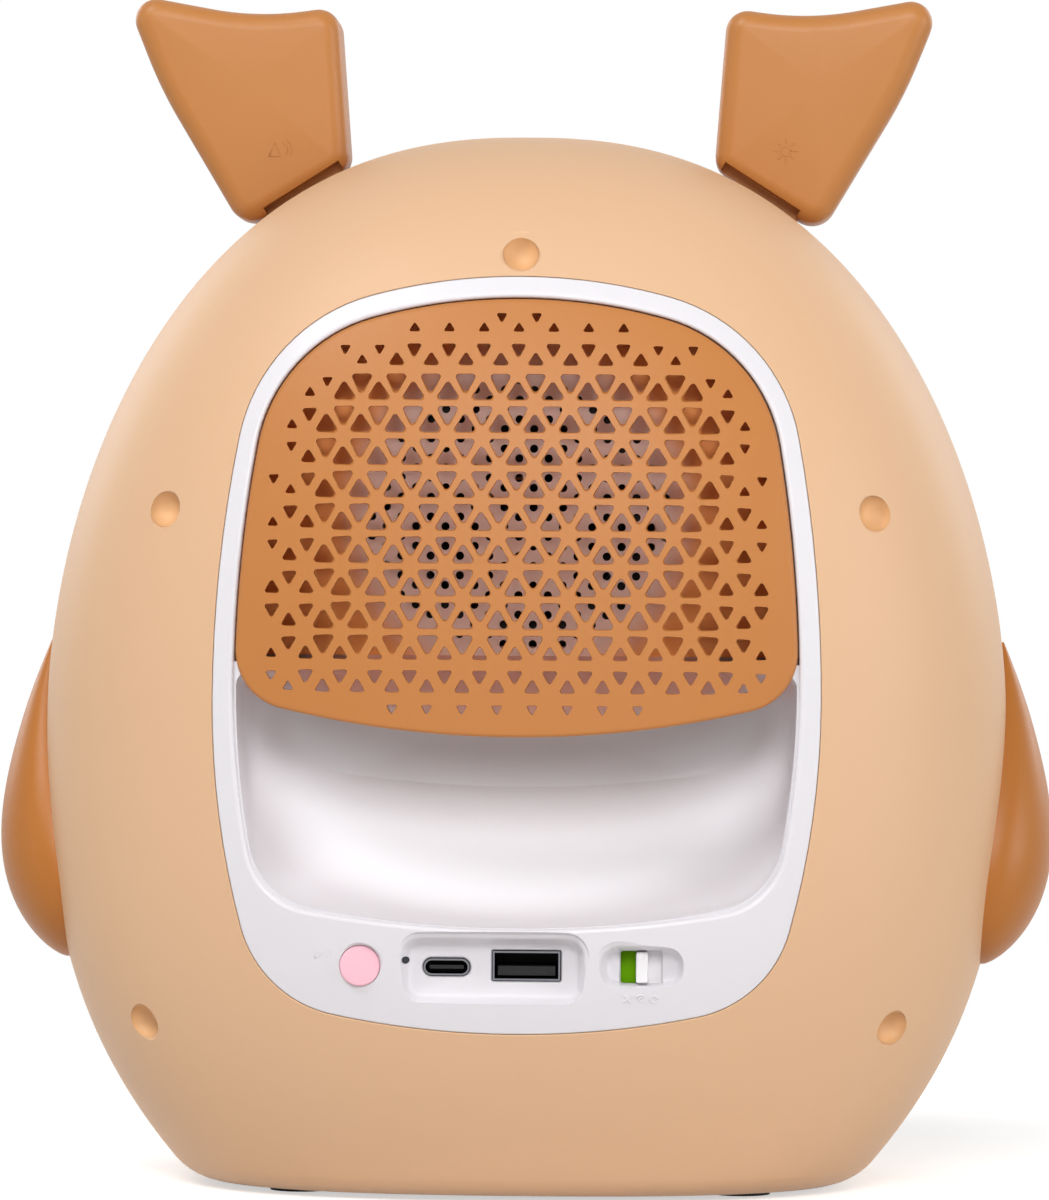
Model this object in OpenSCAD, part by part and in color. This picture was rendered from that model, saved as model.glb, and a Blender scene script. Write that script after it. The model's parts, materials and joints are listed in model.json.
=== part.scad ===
// Puppy-shaped bluetooth speaker for children, seen from its back along +Y.
// Millimetres, +Z up, the base stands on z = 0 and the parting plane of the shells is y = 0.

/* [Body] */
// Half width of the body at its widest ring
body_half_w = 97.4; // [92:0.2:104]
// Height of the top of the body
body_top = 212.3; // [206:0.1:222]
// Height of the widest ring
waist_z = 94; // [90:0.5:99]
// Height of the flat base
base_z = 1; // [0.6:0.1:2]
// Depth of the rear half at the widest ring
rear_depth = 72; // [69:0.5:76]
// Depth of the front half at the widest ring
front_depth = 80; // [76:0.5:88]
// Power of the upward curve in the back view, sideways
dome_power = 2.37; // [2.2:0.01:2.6]
// Power of the upward curve in the back view, upwards
dome_rise = 1.87; // [1.7:0.01:2]
// Power of the upward curve in the side view
side_power = 2.5; // [2.3:0.05:2.8]
// Power of the curve below the widest ring, sideways
flank_power = 1.2; // [1.1:0.05:1.6]
// Power of the curve below the widest ring, downwards
flank_rise = 2.75; // [2.4:0.05:3]
// Height over which the lower curve would close
flank_reach = 135; // [128:1:146]
// Power of the plan outline
plan_power = 2.5; // [2.2:0.05:2.8]
// Radius round the edge of the base
base_round = 4; // [2:0.5:6]
// Wall of both shells
shell_wall = 2.4; // [2:0.1:3]

/* [Bezel and mouth] */
// Height of the bezel's top
bezel_top = 181.4; // [178:0.2:184]
// Height of the bezel's bottom
bezel_bottom = 34.2; // [32:0.2:36]
// Half width of the bezel
bezel_half = 59.1; // [57:0.1:61]
// Height at which the bezel is widest
bezel_mid = 98.6; // [95:0.2:101]
// Radius of the bezel's top edge
bezel_top_r = 112; // [100:1:125]
// Radius of the bezel's upper side edges
bezel_side_r = 290; // [270:5:320]
// Radius of the bezel's lower side edges
bezel_low_r = 170; // [155:1:185]
// Radius of the bezel's bottom edge
bezel_bottom_r = 181; // [165:1:200]
// Radius of the bezel's upper corners
bezel_corner = 35; // [30:0.5:38]
// Radius of the bezel's lower corners
bezel_low_corner = 23; // [20:0.5:26]
// Visible width of the rim round the mouth
rim_w = 4.2; // [3.6:0.1:4.6]
// Height of the hand recess's lower rim
mouth_bottom = 54.7; // [53.5:0.1:57]
// Radius of the hand recess's lower rim
mouth_bottom_r = 250; // [220:5:300]
// Radius of the hand recess's lower corners
mouth_corner = 14; // [12:0.5:16]
// Height of the hand recess's ceiling
ceiling_z = 107; // [105:0.2:108]
// Distance of the recess's back wall from the parting plane
recess_back = 40; // [38:0.5:44]
// Wall of the handle tub
tub_wall = 2.2; // [1.8:0.1:2.4]

/* [Speaker cover] */
// Gap round the cover
cover_gap = 0.25; // [0.15:0.05:0.4]
// Thickness of the cover
cover_t = 2; // [1.6:0.1:2.4]
// Height of the lowest point of the cover's lip
lip_z = 91.8; // [90:0.2:94]
// Radius of the lip's edge
lip_r = 200; // [180:5:240]
// Radius of the lip's corners
lip_corner = 11.6; // [9:0.2:13]
// Height of the top row of holes
hole_top_z = 172.3; // [171.5:0.1:173]
// Distance between rows of holes
hole_row = 6.35; // [6.1:0.05:6.4]
// Distance between holes that point the same way in a row
hole_pitch = 6.78; // [6.4:0.02:6.9]
// Height of the large, middle and small holes
hole_sizes = [3.6, 2.5, 1.75];

/* [Baffle and loudspeaker] */
// Distance of the baffle's outer face from the parting plane
baffle_y = 55; // [54:0.2:55.6]
// Thickness of the baffle
baffle_t = 2; // [1.8:0.1:2.4]
// Height of the loudspeaker's axis
speaker_z = 135.6; // [135.4:0.1:137]
// Diameter of the round holes
round_hole = 1.65; // [1.3:0.05:1.9]
// Distance between columns of round holes
round_column = 2.87; // [2.7:0.01:3.2]
// Distance between round holes in a column
round_pitch = 3.82; // [3.5:0.02:4.2]
// Width of the field of round holes
round_field_w = 58; // [50:1:60]
// Height of the field of round holes
round_field_h = 54; // [46:1:54]
// Distance of the field's middle below the loudspeaker's axis
round_drop = 1.1; // [0:0.1:1.6]
// Side of the loudspeaker's square frame
driver_side = 51; // [49:0.5:51.4]
// Radius of the cone's outer edge
cone_r = 17.5; // [16.5:0.1:18]

/* [Controls] */
// Height of the row of controls
control_z = 47.3; // [46.8:0.1:47.8]
// Distance of the port pocket's floor from the parting plane
pocket_y = 64; // [63.6:0.1:64.6]
// Middle, width and height of the port pocket
port_pocket = [-4, 36.4, 14.1];
// Middle, width and height of the switch pocket
switch_pocket = [25.1, 17.6, 9.4];
// Width of the slope round both pockets
pocket_slope = 1.6; // [1:0.1:2]
// Diameter of the play button
button_d = 7.9; // [7:0.1:8.4]
// Side position of the play button
button_x = -29.8; // [-30.2:0.1:-29.4]
// Distance that the play button travels
button_travel = 1; // [0.6:0.1:1.2]
// Side position of the charge light
light_x = -21; // [-21.4:0.1:-20.6]
// Side position of the USB-C socket
usb_c_x = -13.1; // [-13.4:0.1:-12.6]
// Outer width and height of the USB-C socket
usb_c_size = [8.94, 3.26];
// Side position of the USB-A socket
usb_a_x = 2.4; // [2:0.1:2.8]
// Outer width and height of the USB-A socket
usb_a_size = [13.1, 5.7];
// Side position of the slide switch in its middle place
switch_x = 24.8; // [24.6:0.1:25.2]
// Distance between two places of the slide switch
switch_step = 2.5; // [2:0.1:2.6]
// Width and height of the switch window
switch_window = [7.9, 6.3];
// Height of the main board's upper face
board_z = 45.4; // [45.2:0.1:45.5]
// Thickness of the circuit boards
board_t = 1.6; // [1:0.2:1.6]

/* [Ears and paws] */
// Side position of the ears on the dome
ear_x = 47.8; // [45:0.2:49]
// Distance of the ears in front of the parting plane
ear_y = 11; // [10.5:0.5:14]
// Thickness of the ears
ear_t = 18; // [15:0.5:19]
// Radius round the ears' edges
ear_round = 3.8; // [2:0.2:4]
// Width of the ears' foot along the slope
ear_foot_w = 15; // [12:0.5:16]
// Thickness of the ears' foot
ear_foot_t = 7; // [6:0.5:8]
// Depth of the ears' pin below the dome
ear_pin_depth = 7.5; // [7:0.5:9]
// Diameter of the ears' pin
ear_pin_d = 3; // [2.5:0.1:3.4]
// Angle that the ears rock to each side
ear_swing = 4; // [2:0.5:5]
// Height of the shoulder where the paws begin
paw_top = 111.2; // [108:0.2:115]
// Height of the paws' lower end
paw_bottom = 45.4; // [42:0.2:48]
// Thickness of the paws where they are fullest
paw_bulge = 10; // [8:0.1:12]
// Half width of the paws where they are fullest
paw_half = 17.6; // [15:0.2:20]
// Place of the paws' middle before or behind the parting plane
paw_y = -6; // [-8:0.5:-5]
// How much further forward the shoulder stands than the lower end
paw_slant = 8.5; // [6:0.5:10]

/* [Fasteners and feet] */
// Places of the four case screws at the sides
side_screws_at = [[69.8, 135.7], [-69.8, 135.7], [74, 34.4], [-74, 34.4]];
// Distance of the top case screw above the bezel
top_screw_gap = 4.8; // [4.6:0.1:6]
// Lean of each screw plug away from straight back, sideways and up
plug_lean = [[0, 17], [27, 6], [-27, 6], [31, -18], [-31, -18]];
// Diameter of the plug recesses
plug_d = 6.9; // [6:0.1:7.4]
// Depth of the plugs below the surface
plug_sink = 2.2; // [1.6:0.1:2.6]
// Diameter of the case screws
case_screw_d = 3; // [2.6:0.1:3.4]
// Diameter of the small screws
small_screw_d = 2.2; // [1.8:0.1:2.6]
// Diameter of the rubber feet
foot_d = 12; // [10:0.5:14]
// Places of the rubber feet
feet_at = [[44, 27], [-44, 27], [44, -25], [-44, -25]];

/* [Face side] */
// Height of the face panel's top
face_top = 176; // [172:0.5:178]
// Height of the face panel's bottom
face_bottom = 84; // [80:0.5:88]
// Half width of the face panel
face_half = 56; // [52:0.5:58]
// Radius of the face panel's top edge
face_top_r = 70; // [68:1:80]
// Radius of the face panel's upper sides
face_side_r = 120; // [110:1:130]
// Radius of the face panel's lower sides
face_low_r = 110; // [105:1:120]
// Radius of the face panel's bottom edge
face_bottom_r = 90; // [86:1:100]
// Radius of the face panel's upper corners
face_corner = 26; // [24:0.5:28]
// Radius of the face panel's lower corners
face_low_corner = 24; // [22:0.5:26]
// Thickness of the face panel
face_t = 2; // [1.6:0.1:2.2]
// Distance of the light board from the parting plane
light_board_y = 56; // [52:0.5:58]
// Half distance between the eyes
eye_x = 25; // [22:0.5:28]
// Height of the eyes
eye_z = 141; // [138:0.5:146]
// Diameter of the eyes
eye_d = 13; // [10:0.5:15]
// Height of the muzzle's middle
muzzle_z = 116; // [112:0.5:118]
// Half width, half height and reach of the muzzle
muzzle_size = [23, 15, 13];

/* [Battery] */
// Diameter of the cells
cell_d = 18.3; // [18:0.1:18.6]
// Length of the cells
cell_l = 65; // [64:0.5:66]
// Height of the battery holder's floor
holder_z = 9; // [8:0.5:12]

/* [Hidden] */

// Case screws: the top one clears the bezel and the face panel
column_d = 9;
case_screws_at = concat([[0, max(bezel_top + top_screw_gap, face_top + column_d)]], side_screws_at);
cream = [0.87, 0.71, 0.55];
brown = [0.78, 0.53, 0.31];
paw_brown = [0.71, 0.46, 0.24];
white = [0.93, 0.92, 0.93];
dark = [0.13, 0.13, 0.14];
steel = [0.72, 0.73, 0.75];
board_green = [0.1, 0.4, 0.25];
// Clearance between curved pieces, and the smallest step that keeps cuts clean
gap = 0.3;
step = 0.01;
// Mesh steps of the body's surface
dome_rows = 13;
flank_rows = 7;
body_cols = 26;
back = 400;

// One quadrant of a superellipse, reach against height, with a power for either
function curve(t, p, rise) =
    pow(max(0, 1 - pow(abs(t), is_undef(rise) ? p : rise)), 1 / p);
// Share of the widest ring at a height, with the wall d taken off
function share(z, d, p, rise) = z >= waist_z
    ? curve(min(1, (z - waist_z) / (body_top - d - waist_z)), p, rise)
    : curve(min(1, (waist_z - z) / (flank_reach - d)), flank_power, flank_rise);
// How far the rounded base edge draws the outline in
function base_cut(z, d) = let (h = max(0, base_round - (z - base_z - d)))
    base_round - sqrt(max(0, base_round * base_round - h * h));
function half_w(z, d = 0) =
    (body_half_w - d) * share(z, d, dome_power, dome_rise) - base_cut(z, d);
function half_d(z, depth, d = 0) =
    (depth - d) * share(z, d, side_power, side_power) - base_cut(z, d);
// Depth of the body's surface behind or before the parting plane
function depth_at(x, z, depth) = half_d(z, depth) * curve(min(1, x / half_w(z)), plan_power);
// Half width of the body at a depth behind or before the parting plane
function width_at(y, z) = half_w(z)
    * curve(min(1, abs(y) / half_d(z, y < 0 ? rear_depth : front_depth)), plan_power);
// Height of the dome over a side position
function dome_z(x) =
    waist_z + (body_top - waist_z) * curve(x / body_half_w, dome_rise, dome_power);
function flat(list) = [for (l = list) each l];
function arc(c, r, a0, a1, n) =
    [for (k = [0:n]) let (a = a0 + (a1 - a0) * k / n) c + r * [cos(a), sin(a)]];
function angle_of(v) = atan2(v[1], v[0]);
// Centre at given distances from two centres, on the side s of their line
function meet(p, rp, q, rq, s) = let (
    d = norm(q - p), u = (q - p) / d,
    a = (rp * rp - rq * rq + d * d) / (2 * d),
    h = sqrt(max(0, rp * rp - a * a))) p + a * u + s * h * [-u[1], u[0]];
// Outline of tangent arcs: top edge, corners, bowed sides and bottom edge
function pad(top, top_r, half, mid, side_r, low_r, bottom, bottom_r, corner, low_corner) = let (
    ct = [0, top - top_r], cs = [half - side_r, mid],
    cl = [half - low_r, mid], cb = [0, bottom + bottom_r],
    c1 = meet(ct, top_r - corner, cs, side_r - corner, -1),
    c2 = meet(cb, bottom_r - low_corner, cl, low_r - low_corner, 1),
    split = min(angle_of(c1 - cs) - 0.03, max(0, angle_of(c2 - cl) + 0.6)),
    right = concat(
        arc(ct, top_r, 90, angle_of(c1 - ct), 4),
        arc(c1, corner, angle_of(c1 - ct) - 9, angle_of(c1 - cs) + 3, 4),
        arc(cs, side_r, angle_of(c1 - cs), split, 3),
        arc(cl, low_r, split - (split > 0 ? 0.3 : 2), angle_of(c2 - cl), 3),
        arc(c2, low_corner, angle_of(c2 - cl) - 6, angle_of(c2 - cb) + 6, 4),
        arc(cb, bottom_r, angle_of(c2 - cb), -90, 3)))
    concat(right, [for (k = [len(right) - 2:-1:1]) [-right[k][0], right[k][1]]]);
bezel_line = pad(bezel_top, bezel_top_r, bezel_half, bezel_mid, bezel_side_r, bezel_low_r,
    bezel_bottom, bezel_bottom_r, bezel_corner, bezel_low_corner);
mouth_half = bezel_half - rim_w;
mouth_mid = bezel_mid + 2.4;
function mouth_line(in) = pad(bezel_top - rim_w - in, bezel_top_r - rim_w - in,
    mouth_half - in, mouth_mid, bezel_side_r - in, bezel_low_r - in,
    mouth_bottom + in, mouth_bottom_r, bezel_corner - rim_w - in, mouth_corner);
// Half width of the mouth at a height between its corners
function mouth_side(z) = mouth_half
    - pow(z - mouth_mid, 2) / (z > mouth_mid ? bezel_side_r : bezel_low_r) / 2;
cover_half = mouth_half - cover_gap;
cover_line = pad(bezel_top - rim_w - cover_gap, bezel_top_r - rim_w - cover_gap,
    cover_half, mouth_mid, bezel_side_r - rim_w, bezel_side_r - rim_w,
    lip_z, lip_r, bezel_corner - rim_w - cover_gap, lip_corner);

// Solid through rings of equal length, the first and last closed flat
module loft(rings) {
    n = len(rings[0]);
    m = len(rings);
    polyhedron(flat(rings), concat(
        [[for (k = [0:n - 1]) k]],
        [for (i = [0:m - 2]) for (k = [0:n - 1])
            [i * n + k, (i + 1) * n + k, (i + 1) * n + (k + 1) % n]],
        [for (i = [0:m - 2]) for (k = [0:n - 1])
            [i * n + k, (i + 1) * n + (k + 1) % n, i * n + (k + 1) % n]],
        [[for (k = [n - 1:-1:0]) (m - 1) * n + k]]));
}

// Heights of the rings of a half body with the wall d taken off
function ring_heights(d, rows_up, rows_down) = let (
    low = base_z + d, t0 = asin((waist_z - low - base_round) / (flank_reach - d)))
    concat([for (k = [0:2]) low + base_round * (1 - cos(30 * k))],
        [for (k = [0:rows_down - 1]) waist_z - (flank_reach - d) * sin(t0 * (1 - k / rows_down))],
        [for (k = [0:rows_up - 1]) waist_z + (body_top - d - waist_z) * sin(90 * k / rows_up)]);

// Rear half of the body, closed at the parting plane, with the wall d taken off
module half_body(depth, d, rows_up, rows_down, cols) {
    heights = ring_heights(d, rows_up, rows_down);
    n = cols + 1;
    m = len(heights);
    rings = [for (z = heights) [for (k = [0:cols]) let (a = 180 * k / cols)
        [-half_w(z, d) * cos(a),
            -half_d(z, depth, d) * (k % cols == 0 ? 0 : curve(cos(a), plan_power)), z]]];
    apex = m * n;
    polyhedron(concat(flat(rings), [[0, 0, body_top - d]]), concat(
        [[for (k = [0:cols]) k]],
        [for (i = [0:m - 2]) for (k = [0:cols - 1]) [i * n + k, (i + 1) * n + k, (i + 1) * n + k + 1]],
        [for (i = [0:m - 2]) for (k = [0:cols - 1]) [i * n + k, (i + 1) * n + k + 1, i * n + k + 1]],
        [for (k = [0:cols - 1]) [(m - 1) * n + k, apex, (m - 1) * n + k + 1]],
        [concat([for (i = [0:m - 1]) i * n + cols], [apex], [for (i = [m - 1:-1:0]) i * n])]));
}

// Block under a patch of the rear surface, sunk by d and cut off flat at y = -flat_y
module surface_block(depth, d, x_half, z_low, z_high, flat_y, cols = 12, rows = 15) {
    n = cols + 1;
    grid = [for (i = [0:rows]) for (k = [0:cols]) let (
        x = x_half * (2 * k / cols - 1), z = z_low + (z_high - z_low) * i / rows)
        [x, d - depth_at(x, z, depth), z]];
    b = len(grid);
    corners = [[-x_half, -flat_y, z_low], [x_half, -flat_y, z_low],
        [x_half, -flat_y, z_high], [-x_half, -flat_y, z_high]];
    polyhedron(concat(grid, corners), concat(
        [for (i = [0:rows - 1]) for (k = [0:cols - 1]) [i * n + k, (i + 1) * n + k, (i + 1) * n + k + 1]],
        [for (i = [0:rows - 1]) for (k = [0:cols - 1]) [i * n + k, (i + 1) * n + k + 1, i * n + k + 1]],
        [concat([for (k = [0:cols]) k], [b + 1, b])],
        [concat([for (k = [cols:-1:0]) rows * n + k], [b + 3, b + 2])],
        [concat([for (i = [rows:-1:0]) i * n], [b, b + 3])],
        [concat([for (i = [0:rows]) i * n + cols], [b + 2, b + 1])],
        [[b, b + 1, b + 2, b + 3]]));
}

module rear_block(d, flat_y = 30) {
    surface_block(rear_depth, d, bezel_half + 2, bezel_bottom - 2, bezel_top + 2, flat_y);
}

module front_block(d, flat_y) {
    mirror([0, 1, 0]) surface_block(front_depth, d, face_half + 2, face_bottom - 2,
        face_top + 2, flat_y, 12, 10);
}

// Prism along Y through an outline in X and Z, from y0 to y1
module prism(points, y0 = -back, y1 = 0) {
    translate([0, y1, 0]) rotate([90, 0, 0]) linear_extrude(y1 - y0) polygon(points);
}

// Cylinder along Y at x, z, from y0 to y1
module rod(x, z, d, y0, y1, n = 48) {
    translate([x, y1, z]) rotate([90, 0, 0]) cylinder(d = d, h = y1 - y0, $fn = n);
}

// Box from one corner to the other
module box(a, b) {
    translate(a) cube(b - a);
}

// Outline of a rectangle with round ends or corners, centred
module round_rect(w, h, r) {
    hull() for (sx = [-1, 1], sz = [-1, 1])
        translate([sx * (w / 2 - r), sz * (h / 2 - r)]) circle(r = r, $fn = 24);
}

// The same outline as a prism along Y
module round_bar(x, z, w, h, r, y0, y1) {
    translate([x, y1, z]) rotate([90, 0, 0]) linear_extrude(y1 - y0) round_rect(w, h, r);
}

// Pan-head screw along +Y, its head's bearing face at y, its shank below
module screw(x, z, y, d, length, head_d, head_h) {
    rod(x, z, head_d, y - head_h, y);
    rod(x, z, d, y - step, y + length);
}

module both_sides() {
    children();
    mirror([1, 0, 0]) children();
}

// Case screws: columns in the rear shell, bosses in the front shell
boss_d = 8;
driver_bore = 6;
seat_y = 12;
screw_into = 12;
screw_play = 0.2;

// Frame at a plug's mouth, its Z axis pointing out of the surface
module plug_frame(i) {
    p = case_screws_at[i];
    translate([p[0], -depth_at(abs(p[0]), p[1], rear_depth), p[1]])
        rotate([0, 0, plug_lean[i][0]]) rotate([90 - plug_lean[i][1], 0, 0]) children();
}
plug_t = 3;
plug_play = 0.1;

// Tabs that hold the handle tub, at side and height, and their seat
tab_at = [[61, 146], [64.5, 104], [63, 74]];
tab_y = 44;
tab_t = 2.4;
tab_half = 5;

module rear_shell() {
    color(cream) difference() {
        union() {
            difference() {
                half_body(rear_depth, 0, dome_rows, flank_rows, body_cols);
                half_body(rear_depth, shell_wall, 9, 5, 16);
                prism(pad_grow(bezel_gap));
            }
            intersection() {
                half_body(rear_depth, shell_wall / 2, 9, 5, 16);
                union() {
                    for (p = case_screws_at) rod(p[0], p[1], column_d, -back, 0);
                    both_sides() for (p = tab_at) rod(p[0], p[1], 7, -back, -tab_y);
                    both_sides() for (z = arm_screws_z) translate([arm_seat(z), paw_y, z])
                        rotate([0, 90, 0]) cylinder(d = 7.4, h = 20, $fn = 32);
                    for (p = feet_at) if (p[1] < 0)
                        translate([p[0], p[1], 0])
                            cylinder(d = foot_d + 4, h = foot_sink + base_z + 1.6, $fn = 48);
                }
            }
        }
        for (i = [0:len(case_screws_at) - 1]) {
            p = case_screws_at[i];
            plug_frame(i) translate([0, 0, -plug_sink - plug_t])
                cylinder(d = plug_d, h = back / 8, $fn = 48);
            rod(p[0], p[1], driver_bore, -depth_at(abs(p[0]), p[1], rear_depth) + plug_sink + 1, -seat_y);
            rod(p[0], p[1], case_screw_d + screw_play, -seat_y - 1, 1);
        }
        both_sides() for (p = tab_at) rod(p[0], p[1], small_screw_d + screw_play / 2,
            -tab_y - tub_screw_into - 0.6, -tab_y + 1);
        for (p = feet_at) if (p[1] < 0) foot_hole(p);
        both_sides() for (z = arm_screws_z) translate([0, paw_y, z]) rotate([0, 90, 0])
            cylinder(d = case_screw_d + screw_play, h = back, $fn = 32);
    }
}
bezel_gap = 0.15;
foot_sink = 1.5;
tub_screw_into = 3.2;
function pad_grow(g) = pad(bezel_top + g, bezel_top_r + g, bezel_half + g, bezel_mid,
    bezel_side_r + g, bezel_low_r + g, bezel_bottom - g, bezel_bottom_r + g,
    bezel_corner + g, bezel_low_corner + g);

module foot_hole(p) {
    translate([p[0], p[1], -1]) cylinder(d = foot_d + 0.2, h = 1 + base_z + foot_sink, $fn = 48);
}

module front_shell() {
    color(cream) difference() {
        union() {
            difference() {
                mirror([0, 1, 0]) half_body(front_depth, 0, dome_rows, flank_rows, body_cols);
                mirror([0, 1, 0]) half_body(front_depth, shell_wall, 9, 5, 16);
                prism(face_line(0), 0, back);
            }
            intersection() {
                mirror([0, 1, 0]) half_body(front_depth, shell_wall / 2, 9, 5, 16);
                union() {
                    for (p = case_screws_at) rod(p[0], p[1], boss_d, 0, back);
                    both_sides() for (p = face_tab_at) rod(p[0], p[1], 7, face_tab_y, back);
                    for (p = feet_at) if (p[1] > 0)
                        translate([p[0], p[1], 0])
                            cylinder(d = foot_d + 4, h = foot_sink + base_z + 1.6, $fn = 48);
                    for (p = holder_posts) translate([p[0], p[1], 0])
                        cylinder(d = 6, h = holder_z, $fn = 32);
                    both_sides() ear_mount();
                }
            }
        }
        for (p = case_screws_at) rod(p[0], p[1], case_screw_d + 0.1, -1, screw_into + 1);
        both_sides() for (p = face_tab_at) rod(p[0], p[1], small_screw_d + 0.1, face_tab_y - 1,
            face_tab_y + 3.4);
        for (p = feet_at) if (p[1] > 0) foot_hole(p);
        for (p = holder_posts) translate([p[0], p[1], holder_z - 6])
            cylinder(d = small_screw_d + 0.1, h = 7, $fn = 32);
        both_sides() ear_frame() {
            translate([-(ear_foot_w / 2 + gap), -slot_half, -ear_pin_depth])
                cube([ear_foot_w + 2 * gap, 2 * slot_half, 20]);
            rotate([0, 90, 0]) translate([ear_pin_depth, 0, -ear_pin_l / 2])
                cylinder(d = ear_pin_d + 0.05, h = ear_pin_l, $fn = 32);
            for (s = [-1, 1]) translate([s * ear_post_s, 0, -ear_board_depth - 1])
                cylinder(d = small_screw_d + 0.1, h = 6, $fn = 32);
        }
    }
}

// The face panel's outline, drawn in by g
face_mid = face_bottom + 40;
function face_line(g) = pad(face_top - g, face_top_r - g, face_half - g, face_mid, face_side_r - g,
    face_low_r - g, face_bottom + g, face_bottom_r - g, face_corner - g, face_low_corner - g);
face_gap = 0.2;
face_tab_at = [[60, 142], [59, 110]];
face_tab_y = 46;
face_web = 6.8;

// Ears: local frame on the dome, X down the slope and Z out of the dome
ear_z = dome_z(ear_x);
ear_lean = atan((dome_z(ear_x - 1) - dome_z(ear_x + 1)) / 2);
ear_pin_l = ear_foot_w + 7;
ear_lug_t = 3;
ear_board_depth = 22;
ear_post_s = ear_foot_w / 2 + 9.5;
ear_board_half = ear_post_s + 3;
slot_half = ear_foot_t / 2 + ear_pin_depth * sin(ear_swing) + gap;

module ear_frame() {
    translate([ear_x, ear_y, ear_z]) rotate([0, ear_lean, 0]) children();
}

// Lugs for the pin and posts for the ear's board, inside the dome
module ear_mount() {
    ear_frame() {
        for (s = [-1, 1]) {
            translate([s * (ear_foot_w / 2 + gap + ear_lug_t / 2) - ear_lug_t / 2, -4,
                -ear_pin_depth - 4])
                cube([ear_lug_t, 8, ear_pin_depth + 8]);
            translate([s * ear_post_s, 0, -ear_board_depth])
                cylinder(d = 5, h = ear_board_depth + 4, $fn = 32);
        }
    }
}

// Corners of the ear in its local frame, with their radii
ear_corners = [[-28.1, 29.3, 4.5], [-12.7, 36.4, 60], [7.9, 55.8, 4.4], [11.9, 34.5, 90],
    [12.9, 1, 5], [-12.6, 0.4, 4.4]];

// Arc at corner i of a clockwise outline whose edges are drawn in by d
function round_corner(c, i, d, n) = let (
    m = len(c), p = [c[i][0], c[i][1]],
    a = [c[(i + m - 1) % m][0], c[(i + m - 1) % m][1]], b = [c[(i + 1) % m][0], c[(i + 1) % m][1]],
    u = (p - a) / norm(p - a), w = (b - p) / norm(b - p),
    nu = [u[1], -u[0]], nw = [w[1], -w[0]],
    q = p + d * (nu + nw) / (1 + nu * nw),
    turn = u[0] * w[1] - u[1] * w[0],
    side = turn < 0 ? 1 : -1,
    r = c[i][2] - side * d,
    sweep = acos(u * w),
    centre = q - u * r * tan(sweep / 2) + side * nu * r,
    start = angle_of(-side * nu))
    [for (k = [0:n]) centre + r * [cos(start - side * sweep * k / n), sin(start - side * sweep * k / n)]];
function ear_ring(d, y) = [for (p = flat([for (i = [0:len(ear_corners) - 1])
    round_corner(ear_corners, i, d, 4)])) [p[0], y, p[1]]];

module ear_body() {
    arcs = [for (k = [0:4]) 22.5 * k];
    near = [for (a = arcs) ear_ring(ear_round * (1 - sin(a)), ear_round * (1 - cos(a)) - ear_t / 2)];
    far = [for (k = [4:-1:0]) ear_ring(ear_round * (1 - sin(arcs[k])),
        ear_t / 2 - ear_round * (1 - cos(arcs[k])))];
    loft(concat(near, far));
}
// Undercut beside the foot: from, to and height
undercut = [-11.2, 7, 3.2];

module ear() {
    difference() {
        union() {
            difference() {
                ear_body();
                for (s = [-1, 1]) translate([undercut[0], s > 0 ? ear_foot_t / 2 : -ear_t, -5])
                    cube([undercut[1] - undercut[0], ear_t - ear_foot_t / 2, 5 + undercut[2]]);
            }
            translate([-ear_foot_w / 2, -ear_foot_t / 2, -ear_pin_depth - 3])
                cube([ear_foot_w, ear_foot_t, ear_pin_depth + 8]);
            translate([-5, -2, -ear_pin_depth - 8]) cube([10, 4, 9]);
        }
        rotate([0, 90, 0]) translate([ear_pin_depth, 0, -ear_foot_w])
            cylinder(d = ear_pin_d + 0.2, h = 2 * ear_foot_w, $fn = 32);
    }
}

module right_ear() { color(brown) ear_frame() ear(); }
module left_ear() { color(brown) mirror([1, 0, 0]) ear_frame() ear(); }
module ear_pin() {
    color(steel) ear_frame() rotate([0, 90, 0]) translate([ear_pin_depth, 0, -ear_pin_l / 2])
        cylinder(d = ear_pin_d, h = ear_pin_l, $fn = 32);
}
module right_ear_pin() { ear_pin(); }
module left_ear_pin() { mirror([1, 0, 0]) ear_pin(); }

ear_tact_gap = 0.9;
module ear_boards() {
    color(board_green) both_sides() ear_frame() difference() {
        translate([-ear_board_half, -ear_t / 2, -ear_board_depth - board_t])
            cube([2 * ear_board_half, ear_t, board_t]);
        for (s = [-1, 1]) translate([s * ear_post_s, 0, -ear_board_depth - board_t - 1])
            cylinder(d = small_screw_d + screw_play, h = board_t + 2, $fn = 32);
    }
}
module ear_switches() {
    color(dark) both_sides() ear_frame() for (s = [-1, 1]) mirror([0, s < 0 ? 1 : 0, 0]) {
        translate([-3, 2 + ear_tact_gap + 1, -ear_board_depth]) cube([6, 3.4, 8.5]);
        translate([0, 2 + ear_tact_gap, -ear_pin_depth - 7]) rotate([-90, 0, 0])
            cylinder(d = 2.4, h = 1 + step, $fn = 32);
    }
}

// Paws: sections that bulge from the side of the body
arm_screws_z = [56, 80];
arm_screw_l = 10;
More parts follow.
